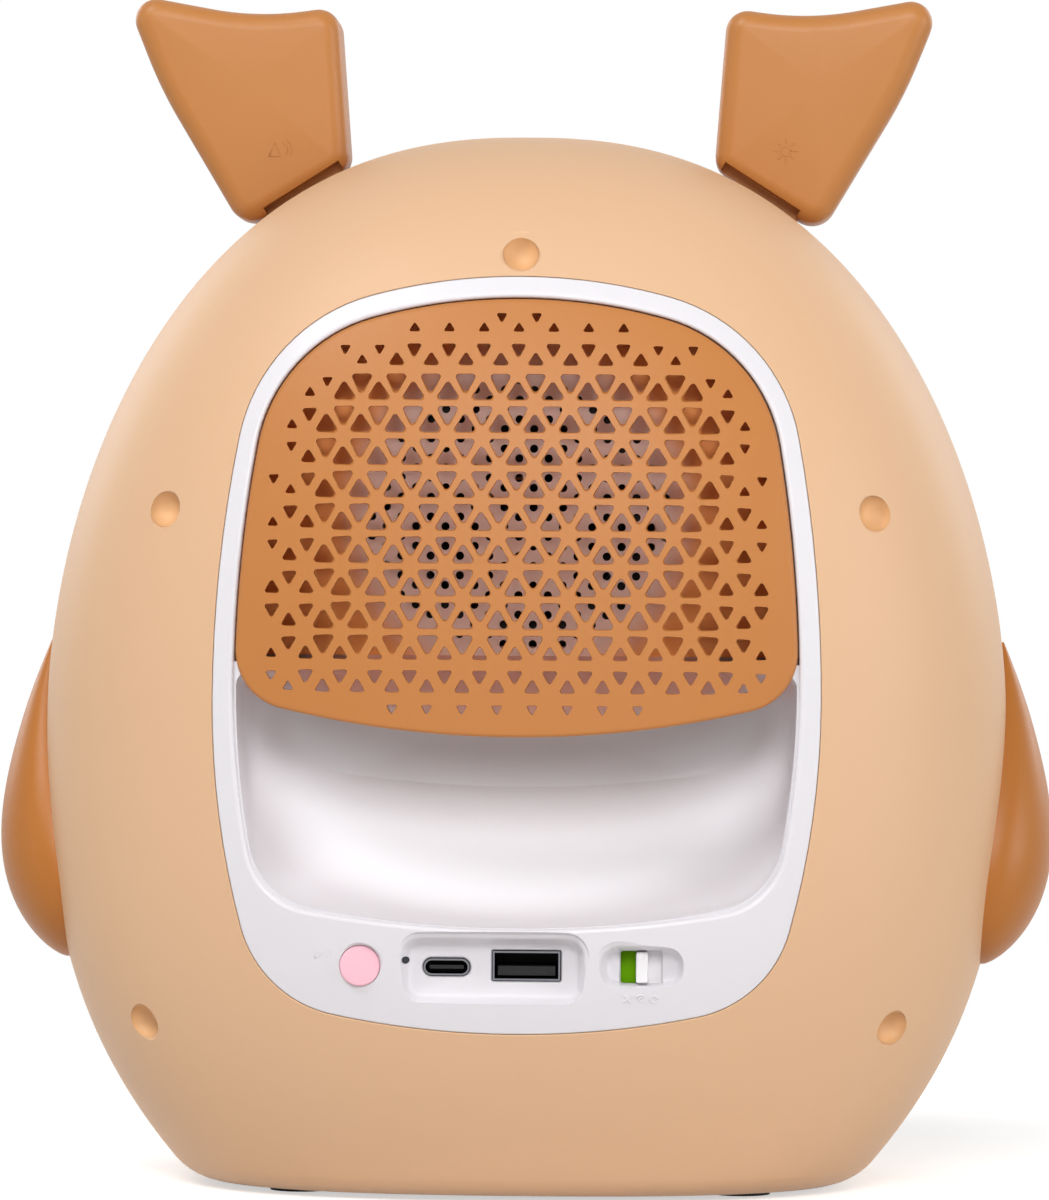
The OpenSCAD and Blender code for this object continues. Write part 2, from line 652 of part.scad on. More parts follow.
// Rings from the lower end up, closer together towards both ends
paw_steps = concat([0.9985], [for (i = [1:13]) 0.5 + 0.5 * cos(180 * i / 14)]);
function paw_share(t) = sin(180 * pow(t, 0.615));
function paw_ring(t) = let (
    z = paw_bottom + (paw_top - paw_bottom) * (1 - t),
    s = paw_share(1 - t), c = paw_y + paw_slant * (0.5 - t), h = paw_half * s)
    concat([for (k = [-5:5]) let (y = c + h * sin(18 * k), e = curve(sin(18 * k), 2.2))
            [width_at(y, z) + gap + paw_bulge * s * e, y, z]],
        [for (k = [4:-1:-4]) let (y = c + h * sin(18 * k)) [width_at(y, z) + gap, y, z]]);
module arm() {
    difference() {
        loft([for (t = paw_steps) paw_ring(t)]);
        for (z = arm_screws_z) translate([0, paw_y, z]) rotate([0, 90, 0])
            cylinder(d = case_screw_d + 0.1, h = arm_seat(z) + arm_screw_l + 0.5, $fn = 32);
    }
}
function arm_seat(z) = width_at(paw_y, z) - shell_wall - 1.8;
module right_arm() { color(paw_brown) arm(); }
module left_arm() { color(paw_brown) mirror([1, 0, 0]) arm(); }
module arm_screws() {
    color(steel) both_sides() for (z = arm_screws_z) translate([arm_seat(z), paw_y, z])
        rotate([0, 90, 0]) {
        translate([0, 0, -2]) cylinder(d = 6, h = 2, $fn = 32);
        translate([0, 0, -step]) cylinder(d = case_screw_d, h = arm_screw_l, $fn = 32);
    }
}

module screw_plugs() {
    color(cream) for (i = [0:len(case_screws_at) - 1]) plug_frame(i)
        translate([0, 0, -plug_sink - plug_t]) difference() {
            cylinder(d = plug_d - plug_play, h = plug_t, $fn = 48);
            translate([0, 0, plug_t + 9]) sphere(r = 9.6, $fn = 64);
        }
}

module case_screws() {
    color(steel) for (p = case_screws_at)
        screw(p[0], p[1], -seat_y, case_screw_d, seat_y + screw_into, driver_bore - 0.4, 2.2);
}

module rubber_feet() {
    color(dark) for (p = feet_at) translate([p[0], p[1], 0])
        cylinder(d = foot_d, h = base_z + foot_sink, $fn = 48);
}

// Hand recess: outlines that shrink towards the back wall
scoop_front = rear_depth + 2;
scoop_reach = scoop_front - recess_back + 2;
scoop_round = 8;
scoop_steps = [0, 0.06, 0.24, 0.42, 0.58, 0.72, 0.84, 0.93, 0.98, 1];
function scoop_bottom(y) = let (t = max(0, scoop_front - 2 - y) / scoop_reach)
    ceiling_z - 3 - (ceiling_z - 3 - mouth_bottom) * sqrt(max(0, 1 - t * t));
function scoop_in(y) = let (t = max(0, recess_back + scoop_round - y))
    0.15 + 0.03 * (scoop_front - y) + scoop_round - sqrt(max(0, scoop_round * scoop_round - t * t));
function scoop_ring(y, w) = [for (p = pad(ceiling_z + w, 500, mouth_half - scoop_in(y) + w, mouth_mid,
    bezel_side_r, bezel_low_r, scoop_bottom(y) - w, mouth_bottom_r, 3 + w, mouth_corner + w))
    [p[0], w - y, p[1]]];
module scoop(w) {
    loft([for (s = scoop_steps) scoop_ring(scoop_front + (recess_back - scoop_front) * s, w)]);
}

// Ring of a rectangle with round corners at a depth y
function rect_ring(x, z, w, h, r, y) = flat([for (k = [0:3]) let (
    cx = x + [-1, 1, 1, -1][k] * (w / 2 - r), cz = z + [1, 1, -1, -1][k] * (h / 2 - r))
    [for (j = [0:4]) let (a = 180 - 90 * k - 22.5 * j) [cx + r * cos(a), y, cz + r * sin(a)]]]);

// Pocket with sloping sides in the control panel, from its floor outwards
module pocket(p, z, grow, floor_y) {
    w = p[1] - 2 * pocket_slope + grow;
    h = p[2] - 2 * pocket_slope + grow;
    loft([rect_ring(p[0], z, w + 3 * pocket_slope, h + 3 * pocket_slope, 4.6 + grow / 2, -floor_y - 7),
        rect_ring(p[0], z, w, h, 2.6 + grow / 2, -floor_y)]);
}
port_z = control_z - 0.5;
usb_c_z = board_z + usb_c_size[1] / 2 + 0.02;
light_z = control_z + 1.1;
window_x = switch_x - 0.2;
floor_t = 2;
sleeve_y = 62.5;
ledge_w = 5;
post_x = 36.4;
post_at = [[-post_x, 55.5], [post_x, 55.5], [-post_x, 44], [post_x, 44]];
post_d = 5.6;

module handle_tub() {
    color(white) difference() {
        union() {
            intersection() {
                rear_block(0);
                union() {
                    difference() {
                        prism(bezel_line);
                        rear_block(tub_wall, 20);
                    }
                    difference() {
                        prism(mouth_line(-tub_wall), -back, -baffle_y + baffle_t + tub_wall);
                        box([-back, -back, -1], [back, 1, ceiling_z]);
                    }
                    scoop(tub_wall);
                    pocket(port_pocket, port_z, 3, pocket_y - floor_t);
                    pocket(switch_pocket, control_z, 3, pocket_y - floor_t);
                    rod(button_x, control_z, button_d + 4, -back, -sleeve_y);
                }
            }
            both_sides() for (p = tab_at) {
                side = mouth_side(p[1]);
                box([side - 1, -tab_y, p[1] - tab_half], [p[0] + 3, -tab_y + tab_t, p[1] + tab_half]);
                box([side - 4, -tab_y - 10, p[1] - tab_half],
                    [side + tub_wall - 0.5, -tab_y + tab_t, p[1] + tab_half]);
            }
            for (p = post_at) translate([p[0], -p[1], board_z]) cylinder(d = post_d, h = 22, $fn = 32);
            for (z = [control_z - rail_half - 1.2, control_z + rail_half])
                box([switch_x - 11.5, -pocket_y + step, z],
                    [switch_x + 11.5, -pocket_y + floor_t + 1.1, z + 1.2]);
        }
        // Space behind the cover, and the opening in the ledge that carries the baffle
        difference() {
            prism(mouth_line(0), -back, -baffle_y + baffle_t);
            box([-back, -back, -1], [back, 1, mouth_mid]);
        }
        difference() {
            prism(mouth_line(ledge_w));
            box([-back, -back, -1], [back, 1, ceiling_z + tub_wall]);
        }
        scoop(0);
        pocket(port_pocket, port_z, 0, pocket_y);
        pocket(switch_pocket, control_z, 0, pocket_y);
        rod(button_x, control_z, button_d + 2 * slide_gap, -back, -20);
        rod(light_x, light_z, light_d + 0.1, -back, -50);
        round_bar(usb_c_x, usb_c_z, usb_c_size[0] + 0.3, usb_c_size[1] + 0.3,
            usb_c_size[1] / 2 + 0.1, -pocket_y - 1, -50);
        box([usb_a_x - usb_a_size[0] / 2 - 0.15, -pocket_y - 1, usb_a_z - usb_a_size[1] / 2 - 0.15],
            [usb_a_x + usb_a_size[0] / 2 + 0.15, -50, usb_a_z + usb_a_size[1] / 2 + 0.15]);
        box([window_x - switch_window[0] / 2, -pocket_y - 1, control_z - switch_window[1] / 2],
            [window_x + switch_window[0] / 2, -50, control_z + switch_window[1] / 2]);
        for (p = post_at) translate([p[0], -p[1], board_z - 1])
            cylinder(d = small_screw_d + 0.1, h = 6.5, $fn = 32);
        both_sides() for (p = tab_at) rod(p[0], p[1], small_screw_d + screw_play, -tab_y - 1,
            -tab_y + tab_t + 1);
    }
}
slide_gap = 0.2;
light_d = 1.3;
usb_a_z = control_z + 0.1;
rail_half = 4.2;

module tub_screws() {
    color(steel) both_sides() for (p = tab_at) {
        rod(p[0], p[1], 4.4, -tab_y + tab_t, -tab_y + tab_t + 1.8);
        rod(p[0], p[1], small_screw_d, -tab_y - tub_screw_into, -tab_y + tab_t + step);
    }
}

// Rounded triangle hole of height h, its point up or down
module tri(h, up) {
    c = h * 0.16;
    points = [for (k = [0:2]) let (a = 90 + 120 * k, v = (h * 1.16) * 2 / 3 * [cos(a), sin(a)],
        t = [-sin(a), cos(a)])
        each [v * (1 - 0.2) - t * c, v * (1 - 0.2) + t * c]];
    rotate(up ? 0 : 180) polygon(points);
}

// Outermost hole in each row, then the outermost large and the outermost middle one,
// counted in half pitches from the axis
row_last = [6, 10, 12, 13, 13, 14, 14, 14, 14, 14, 14, 14, 7];
row_large = [-1, -1, 10, 11, 11, 11, 11, 11, 11, 11, 11, -1, -1];
row_middle = [-1, 7, 10, 12, 12, 12, 13, 13, 14, 14, 13, 12, -1];
// Rise of upright and drop of hanging triangles from the middle of their row
hole_shift = 1.16;
hole_margin = 2.6;
function points_up(r, k) = (r + abs(k)) % 2 == 0;
// Small holes only: the first row skips some, the last row has hanging ones only
function has_hole(r, k) = r == 0 ? (points_up(r, k) || abs(k) == 1)
    : r == len(row_last) - 1 ? !points_up(r, k)
    : true;
function hole_class(r, k) = abs(k) <= row_large[r] && (r != 10 || !points_up(r, k)) ? 0
    : abs(k) <= row_middle[r] ? 1 : 2;
// Whether a place lies on the cover with some border round it
function on_cover(x, z) = let (
    side = cover_half - pow(z - mouth_mid, 2) / (2 * bezel_side_r),
    top = bezel_top - rim_w - x * x / (2 * (bezel_top_r - rim_w)),
    bottom = lip_z + x * x / (2 * lip_r))
    abs(x) < side - hole_margin && z < top - hole_margin && z > bottom + hole_margin;

module cover_holes() {
    for (r = [0:len(row_last) - 1]) for (k = [-row_last[r]:row_last[r]]) {
        up = points_up(r, k);
        x = k * hole_pitch / 2;
        z = hole_top_z - r * hole_row + (up ? -hole_shift : hole_shift);
        if (has_hole(r, k) && on_cover(x, z)) translate([x, z]) tri(hole_sizes[hole_class(r, k)], up);
    }
}

cover_posts = [[49, 118], [46, 147], [27, 168]];
module grille_cover() {
    color(brown) {
        difference() {
            intersection() {
                rear_block(0);
                prism(cover_line);
            }
            rear_block(cover_t, 20);
            rotate([90, 0, 0]) linear_extrude(back) cover_holes();
        }
        both_sides() for (p = cover_posts) rod(p[0], p[1], 3.4,
            -depth_at(p[0], p[1], rear_depth) + cover_t - 0.5, -baffle_y, 24);
    }
}

module speaker_baffle() {
    columns = floor(round_field_w / 2 / round_column);
    rows = floor(round_field_h / 2 / round_pitch);
    color(white) difference() {
        union() {
            difference() {
                prism(mouth_line(cover_gap), -baffle_y, -baffle_y + baffle_t);
                box([-back, -back, -1], [back, 1, ceiling_z + 0.4]);
            }
            for (sx = [-1, 1], sz = [-1, 1]) rod(sx * driver_hole, speaker_z + sz * driver_hole, 4.6,
                -baffle_y + baffle_t - step, -baffle_y + baffle_t + gasket_t, 32);
        }
        for (c = [-columns:columns]) for (r = [-rows - 1:rows]) {
            x = c * round_column;
            z = (r + (c % 2 == 0 ? 0 : 0.5)) * round_pitch;
            hole_z = speaker_z - round_drop + z;
            if (pow(2 * x / round_field_w, 2) + pow(2 * z / round_field_h, 2) <= 1
                && hole_z > ceiling_z + round_hole)
                rod(x, hole_z, round_hole, -baffle_y - 1, -baffle_y + baffle_t + 1, 16);
        }
        for (sx = [-1, 1], sz = [-1, 1]) rod(sx * driver_hole, speaker_z + sz * driver_hole,
            small_screw_d + 0.1,
            -baffle_y + 0.5, -baffle_y + baffle_t + gasket_t + 1, 32);
    }
}

// Loudspeaker: local frame on its axis, Z pointing into the body from the baffle's back
gasket_t = 0.8;
frame_t = 1.2;
driver_hole = driver_side / 2 - 3.4;
frame_ring = 22.5;
basket_end = 14;
coil_r = 6.6;
magnet_r = 17.5;
module speaker_frame() {
    translate([0, -baffle_y + baffle_t, speaker_z]) rotate([-90, 0, 0]) children();
}
module turned(points) {
    speaker_frame() rotate_extrude($fn = 96) polygon(points);
}
module driver_gasket() {
    color(dark) turned([[frame_ring, 0], [frame_ring + 2.4, 0], [frame_ring + 2.4, gasket_t],
        [frame_ring, gasket_t]]);
}
module driver_frame() {
    z0 = gasket_t;
    z1 = gasket_t + frame_t;
    color(dark) difference() {
        union() {
            speaker_frame() translate([0, 0, z0]) linear_extrude(frame_t) difference() {
                round_rect(driver_side, driver_side, 4);
                circle(r = frame_ring - 1, $fn = 96);
            }
            turned([[frame_ring - 1, z0], [frame_ring + 1.2, z0], [frame_ring + 1.2, z1],
                [frame_ring + 1.4, z1 + 3],
                [coil_r + 9, basket_end - 0.5], [coil_r + 9, basket_end + 1],
                    [coil_r + 2, basket_end + 1],
                [coil_r + 2, basket_end], [coil_r + 7.6, basket_end], [coil_r + 7.6, basket_end - 1.4],
                [frame_ring - 1, z1 + 3]]);
        }
        speaker_frame() for (k = [0:5]) rotate([0, 0, 60 * k + 30])
            translate([coil_r + 10.4, -5, z1 + 2.4]) cube([30, 10, basket_end - z1 - 4.6]);
        for (sx = [-1, 1], sz = [-1, 1]) rod(sx * driver_hole, speaker_z + sz * driver_hole,
            small_screw_d + screw_play,
            -baffle_y, -20, 32);
    }
}
module driver_screws() {
    head_y = -baffle_y + baffle_t + gasket_t + frame_t;
    color(steel) for (sx = [-1, 1], sz = [-1, 1]) {
        rod(sx * driver_hole, speaker_z + sz * driver_hole, 4, head_y, head_y + 1.5, 32);
        rod(sx * driver_hole, speaker_z + sz * driver_hole, small_screw_d, -baffle_y + 0.8,
            head_y + step, 32);
    }
}
module driver_surround() {
    r0 = cone_r;
    r1 = frame_ring - 1.2;
    c = (r0 + r1) / 2;
    h = (r1 - r0) / 2;
    z = gasket_t + 1.6;
    color([0.08, 0.08, 0.08])
        turned(concat([[r0 - 1.2, z]],
        [for (k = [0:8]) [c - h * cos(22.5 * k), z - h * 0.95 * sin(22.5 * k)]],
        [for (k = [8:-1:0]) [c - (h - 0.5) * cos(22.5 * k),
            z + 0.5 - (h - 0.5) * 0.9 * sin(22.5 * k)]], [[r0 - 1.2, z + 0.5]]));
}
module driver_cone() {
    z = gasket_t + 2.1;
    color([0.2, 0.2, 0.22])
        turned([[cone_r, z], [cone_r, z + 0.5], [coil_r + 0.5, z + 6.5], [coil_r + 0.5, z + 5.8]]);
}
module driver_dust_cap() {
    z = gasket_t + 7.6;
    color([0.15, 0.15, 0.16])
        turned(concat([for (k = [0:6]) [coil_r * sin(15 * k) * 0.98, z - 3.4 * cos(15 * k)]],
        [for (k = [6:-1:0]) [(coil_r - 0.5) * sin(15 * k), z - 2.9 * cos(15 * k)]]));
}
module driver_voice_coil() {
    color([0.7, 0.4, 0.2]) turned([[coil_r - 0.25, gasket_t + 7.7], [coil_r + 0.2, gasket_t + 7.7],
        [coil_r + 0.2, 18],
        [coil_r - 0.25, 18]]);
}
module driver_spider() {
    z = basket_end - 2.2;
    color([0.75, 0.6, 0.3])
        turned(concat([for (k = [0:12]) [coil_r + 0.5 + (8 - 0.9) * k / 12, z + 0.35 * sin(90 * k)]],
        [for (k = [12:-1:0]) [coil_r + 0.5 + (8 - 0.9) * k / 12, z + 0.4 + 0.35 * sin(90 * k)]]));
}
plate_z = basket_end + 1;
module driver_top_plate() {
    color(steel) turned([[coil_r + 0.8, plate_z], [magnet_r - 2, plate_z], [magnet_r - 2, plate_z + 2],
        [coil_r + 0.8, plate_z + 2]]);
}
module driver_magnet() {
    color(dark) turned([[coil_r + 3, plate_z + 2], [magnet_r, plate_z + 2], [magnet_r, plate_z + 8],
        [coil_r + 3, plate_z + 8]]);
}
module driver_yoke() {
    color(steel) turned([[0, plate_z], [coil_r - 0.8, plate_z], [coil_r - 0.8, plate_z + 8],
        [magnet_r - 1, plate_z + 8],
        [magnet_r - 1, plate_z + 10], [0, plate_z + 10]]);
}

// Main board and what it carries
board_half = post_x + 2.6;
board_front = 61.2;
board_back = 39.5;
board_notch = 58.4;
module main_board() {
    color(board_green) difference() {
        box([-board_half, -board_front, board_z - board_t], [board_half, -board_back, board_z]);
        box([button_x - 6.5, -back, 0], [button_x + 6.5, -board_notch, back]);
        box([switch_x - skirt_half - switch_step - gap, -back, 0],
            [switch_x + skirt_half + switch_step + gap, -skirt_y + skirt_t + gap, back]);
        box([usb_a_x - usb_a_size[0] / 2 - 0.3, -back, 0],
            [usb_a_x + usb_a_size[0] / 2 + 0.3, -pocket_y + usb_a_l + 0.3, back]);
        for (p = post_at) translate([p[0], -p[1], 0])
            cylinder(d = small_screw_d + screw_play, h = back, $fn = 32);
    }
}
module board_screws() {
    color(steel) for (p = post_at) translate([p[0], -p[1], 0]) {
        translate([0, 0, board_z - board_t - 1.6]) cylinder(d = 4.2, h = 1.6, $fn = 32);
        translate([0, 0, board_z - board_t - step])
            cylinder(d = small_screw_d, h = board_t + 5, $fn = 32);
    }
}
// Place on the main board as shares of half its width and of its depth from the back edge
function board_place(u, v) =
    [u * board_half, -board_back - v * (board_front - board_back), board_z];
module radio_module() {
    translate(board_place(-0.385, 0.28)) {
        color(board_green) translate([-7, -4.5, 0]) cube([14, 9, 0.8]);
        color(steel) translate([-6, -4, 0.8]) cube([10, 8, 1.8]);
    }
}
// Chips and the coil: place on the board, width, length and height
chips = [[0.436, 0.438, 6, 6, 1], [0.628, 0.253, 5, 4, 1.2], [0.25, 0.31, 3.5, 3.5, 2]];
capacitor_at = [-0.1, 0.077];
module board_chips() {
    color(dark) {
        for (c = chips) translate(board_place(c[0], c[1])) translate([-c[2] / 2, -c[3] / 2, 0])
            cube([c[2], c[3], c[4]]);
        for (u = capacitor_at) translate(board_place(u, 0.253)) cylinder(d = 5, h = 6, $fn = 32);
    }
}

usb_wall = 0.35;
usb_c_l = 7.4;
usb_a_l = 13.5;
module usb_c_shell() {
    w = usb_c_size[0];
    h = usb_c_size[1];
    color(steel) {
        difference() {
            round_bar(usb_c_x, usb_c_z, w, h, h / 2 - step, -pocket_y, -pocket_y + usb_c_l);
            round_bar(usb_c_x, usb_c_z, w - 2 * usb_wall, h - 2 * usb_wall,
                h / 2 - usb_wall - step, -pocket_y - 1, -pocket_y + usb_c_l - 0.8);
        }
        for (s = [-1, 1])
            box([usb_c_x + s * 3 - 0.6, -board_front + 0.6, board_z],
                [usb_c_x + s * 3 + 0.6, -pocket_y + usb_c_l - 0.3, usb_c_z - h / 2 + 0.2]);
    }
}
module usb_c_tongue() {
    color(dark) box([usb_c_x - 3.3, -pocket_y + 0.6, usb_c_z - 0.35],
        [usb_c_x + 3.3, -pocket_y + usb_c_l - 0.8, usb_c_z + 0.35]);
}
module usb_a_shell() {
    w = usb_a_size[0];
    h = usb_a_size[1];
    color(steel) difference() {
        box([usb_a_x - w / 2, -pocket_y, usb_a_z - h / 2],
            [usb_a_x + w / 2, -pocket_y + usb_a_l, usb_a_z + h / 2]);
        box([usb_a_x - w / 2 + usb_wall, -pocket_y - 1, usb_a_z - h / 2 + usb_wall],
            [usb_a_x + w / 2 - usb_wall, -pocket_y + usb_a_l - 1.2, usb_a_z + h / 2 - usb_wall]);
    }
}
module usb_a_tongue() {
    color(dark) box([usb_a_x - 5.55, -pocket_y + 1, usb_a_z - 1.9],
        [usb_a_x + 5.55, -pocket_y + usb_a_l - 1.2, usb_a_z - 0.1]);
}

// Play button with its flange behind the sleeve, and the push switch that it presses
button_face = depth_at(abs(button_x), control_z, rear_depth) + 0.1;
flange_t = 0.8;
stem_l = 2.2;
plunger_gap = button_travel + 0.2;
module play_button() {
    color([1, 0.78, 0.83]) translate([button_x, 0, control_z]) rotate([90, 0, 0]) {
        translate([0, 0, sleeve_y - gap]) difference() {
            cylinder(d = button_d, h = button_face - sleeve_y + gap, $fn = 64);
            translate([0, 0, button_face - sleeve_y + gap + 60]) sphere(r = 60.15, $fn = 96);
        }
        translate([0, 0, sleeve_y - gap - flange_t])
            cylinder(d = button_d + 2, h = flange_t + step, $fn = 64);
        translate([0, 0, sleeve_y - gap - flange_t - stem_l])
            cylinder(d = 3.2, h = stem_l + step, $fn = 32);
    }
}
module button_switch() {
    tip = sleeve_y - gap - flange_t - stem_l - plunger_gap;
    color(dark) {
        box([button_x - 3, -tip + 1, board_z], [button_x + 3, -tip + 4.6, board_z + 4.6]);
        rod(button_x, control_z, 2, -tip, -tip + 1 + step, 32);
    }
}
module light_pipe() {
    color([0.9, 0.95, 1])
        rod(light_x, light_z, light_d, -pocket_y - 0.6, -board_front - 0.2, 24);
}
module charge_light() {
    color([0.9, 0.9, 0.6])
        box([light_x - 0.9, -board_front, board_z], [light_x + 0.9, -board_front + 1.6, light_z + 0.9]);
}

// Slide switch: knob and skirt behind the window, driven lever and fixed body
skirt_y = pocket_y - floor_t - gap;
skirt_t = 1;
skirt_half = switch_window[0] / 2 + switch_step + 0.9;
knob = [2.2, 5.7];
fork_l = 1.6;
lever_w = 1.8;
module switch_slider() {
    color(white) {
        box([switch_x - knob[0] / 2, -skirt_y, control_z - rail_half + gap],
            [switch_x + skirt_half, -skirt_y + skirt_t, control_z + rail_half - gap]);
        box([switch_x - knob[0] / 2, -pocket_y - 1.4, control_z - knob[1] / 2],
            [switch_x + knob[0] / 2, -skirt_y + step, control_z + knob[1] / 2]);
        for (s = [-1, 1]) box([switch_x + s * (lever_w / 2 + 0.55) - 0.45, -skirt_y + skirt_t - step,
            control_z - 1],
            [switch_x + s * (lever_w / 2 + 0.55) + 0.45, -skirt_y + skirt_t + fork_l, control_z + 1.4]);
        box([switch_x - lever_w / 2 - 1, -skirt_y, control_z - 1],
            [switch_x + lever_w / 2 + 1, -skirt_y + skirt_t, control_z + 1.4]);
    }
}
module switch_flag() {
    color([0.35, 0.62, 0]) difference() {
        box([switch_x - skirt_half, -skirt_y, control_z - rail_half + gap],
            [switch_x - knob[0] / 2, -skirt_y + skirt_t, control_z + rail_half - gap]);
        box([switch_x - lever_w / 2 - 1, -skirt_y - 1, control_z - 1],
            [switch_x, -skirt_y + skirt_t + 1, control_z + 1.4]);
    }
}
lever_deep = 1.2;
switch_body_y = board_front - 2.4;
module switch_lever() {
    color(dark) box([switch_x - lever_w / 2, -skirt_y + skirt_t + 0.1, control_z - 0.6],
        [switch_x + lever_w / 2, -switch_body_y + lever_deep, control_z + 1]);
}
module switch_body() {
    slot_w = lever_w / 2 + switch_step + 0.5;
    color(steel) difference() {
        box([switch_x - 6.5, -switch_body_y, board_z],
            [switch_x + 6.5, -switch_body_y + 4.6, board_z + 4.4]);
        box([switch_x - slot_w, -switch_body_y - 1, control_z - 0.9],
            [switch_x + slot_w, -switch_body_y + lever_deep + 0.2, control_z + 1.3]);
    }
}

// Battery holder on posts of the front shell's floor
holder_y0 = 5;
holder_wall = 1.6;
holder_y1 = holder_y0 + 2 * cell_d + 3 * holder_wall + 0.8;
holder_half = cell_l / 2 + 3.5;
holder_posts = [[30, holder_y0 + 4], [-30, holder_y0 + 4], [30, holder_y1 - 4], [-30, holder_y1 - 4]];
function cell_y(k) = holder_y0 + holder_wall + 0.2 + cell_d / 2 + k * (cell_d + holder_wall + 0.4);
module battery_holder() {
    color(dark) difference() {
        box([-holder_half, holder_y0, holder_z], [holder_half, holder_y1,
            holder_z + cell_d * 0.75 + holder_wall]);
        for (k = [0, 1]) box([-cell_l / 2 - 1, cell_y(k) - cell_d / 2 - 0.2, holder_z + holder_wall],
            [cell_l / 2 + 1, cell_y(k) + cell_d / 2 + 0.2, back]);
        for (p = holder_posts) translate([p[0], p[1], 0])
            cylinder(d = small_screw_d + screw_play, h = back, $fn = 32);
    }
}
module battery_cells() {
    color([0.2, 0.45, 0.7]) for (k = [0, 1])
        translate([-cell_l / 2, cell_y(k), holder_z + holder_wall + cell_d / 2 + 1.7])
        rotate([0, 90, 0]) cylinder(d = cell_d, h = cell_l, $fn = 64);
}
module battery_screws() {
    color(steel) for (p = holder_posts) translate([p[0], p[1], 0]) {
        translate([0, 0, holder_z + holder_wall]) cylinder(d = 4.2, h = 1.4, $fn = 32);
        translate([0, 0, holder_z - 5]) cylinder(d = small_screw_d, h = holder_wall + 5 + step, $fn = 32);
    }
}

// Face side
module face_panel() {
    color([0.96, 0.95, 0.92]) difference() {
        union() {
            difference() {
                intersection() {
                    front_block(0, 30);
                    prism(face_line(face_gap), 0, back);
                }
                front_block(face_t, 20);
            }
            for (p = light_posts) rod(p[0], p[1], 5, light_board_y,
                depth_at(abs(p[0]), p[1], front_depth) - face_t + 0.6, 32);
            both_sides() for (p = face_tab_at) {
                side = p[0] - face_web;
                box([side - 1.8, face_tab_y - tab_t, p[1] - tab_half],
                    [p[0] + 3, face_tab_y, p[1] + tab_half]);
                box([side - 1.8, face_tab_y - tab_t, p[1] - tab_half],
                    [side, depth_at(side, p[1], front_depth) - face_t + 0.4, p[1] + tab_half]);
            }
        }
        both_sides() for (p = face_tab_at) rod(p[0], p[1], small_screw_d + screw_play,
            face_tab_y - tab_t - 1, face_tab_y + 1, 32);
        for (p = light_posts) rod(p[0], p[1], small_screw_d + 0.1, light_board_y - 1,
            light_board_y + 8, 32);
        both_sides() eye_frame() translate([0, 0, -30]) cylinder(d = eye_peg + 0.3, h = 40, $fn = 32);
        rod(0, muzzle_z, muzzle_peg + 0.3, 40, back);
    }
}
light_mid_z = (face_top + face_bottom) / 2 - 1;
light_half = (face_top - face_bottom) * 0.39;
light_post = light_half - 6;
light_posts = [for (sz = [1, -1], sx = [1, -1]) [sx * light_post, light_mid_z + sz * light_post]];
eye_peg = 6;
muzzle_peg = 12;
muzzle_seat = depth_at(0, muzzle_z, front_depth) + gap;

// Frame on the face's surface at the right eye, Z pointing out
function slope_x(x, z) = (depth_at(x + 0.5, z, front_depth) - depth_at(x - 0.5, z, front_depth));
function slope_z(x, z) = (depth_at(x, z + 0.5, front_depth) - depth_at(x, z - 0.5, front_depth));
module eye_frame() {
    translate([eye_x, depth_at(eye_x, eye_z, front_depth), eye_z])
        rotate([0, 0, atan(slope_x(eye_x, eye_z))]) rotate([-90 - atan(slope_z(eye_x, eye_z)), 0, 0])
            children();
}
module eyes() {
    color([0.2, 0.12, 0.08]) both_sides() eye_frame() {
        translate([0, 0, gap]) intersection() {
            cylinder(d = eye_d, h = 5, $fn = 64);
            translate([0, 0, 2.6 - eye_d * 0.8]) sphere(r = eye_d * 0.8, $fn = 64);
        }
        translate([0, 0, -6]) cylinder(d = eye_peg, h = 6.5, $fn = 32);
    }
}
module muzzle() {
    color([0.95, 0.93, 0.9]) difference() {
        union() {
            intersection() {
                translate([0, muzzle_seat - 2, muzzle_z])
                    scale([muzzle_size[0], muzzle_size[2] + 2, muzzle_size[1]]) sphere(r = 1, $fn = 48);
                box([-back, muzzle_seat + muzzle_lift, 0], [back, back, back]);
            }
            rod(0, muzzle_z, muzzle_peg, muzzle_seat - 8, muzzle_seat + 3);
        }
        rod(0, muzzle_z + nose_up, 4.1, muzzle_seat + 4, back, 32);
        rod(0, muzzle_z + nose_up, 16.4, muzzle_seat + nose_seat - 0.1, back);
    }
}
muzzle_lift = 0.2;
nose_up = 6;
nose_seat = 10.6;
module nose() {
    color([0.25, 0.14, 0.09]) {
        intersection() {
            translate([0, muzzle_seat + nose_seat, muzzle_z + nose_up]) scale([7.5, 5, 5.5])
                sphere(r = 1, $fn = 32);
            box([-back, muzzle_seat + nose_seat, 0], [back, back, back]);
        }
        rod(0, muzzle_z + nose_up, 4, muzzle_seat + 5, muzzle_seat + nose_seat + 1, 32);
    }
}
module light_board() {
    color(white) difference() {
        box([-light_half - 2, light_board_y - board_t, light_mid_z - light_half],
            [light_half + 2, light_board_y, light_mid_z + light_half]);
        for (p = light_posts) rod(p[0], p[1], small_screw_d + screw_play, 0, back, 32);
        rod(0, muzzle_z, muzzle_peg + 2, 0, back);
    }
}
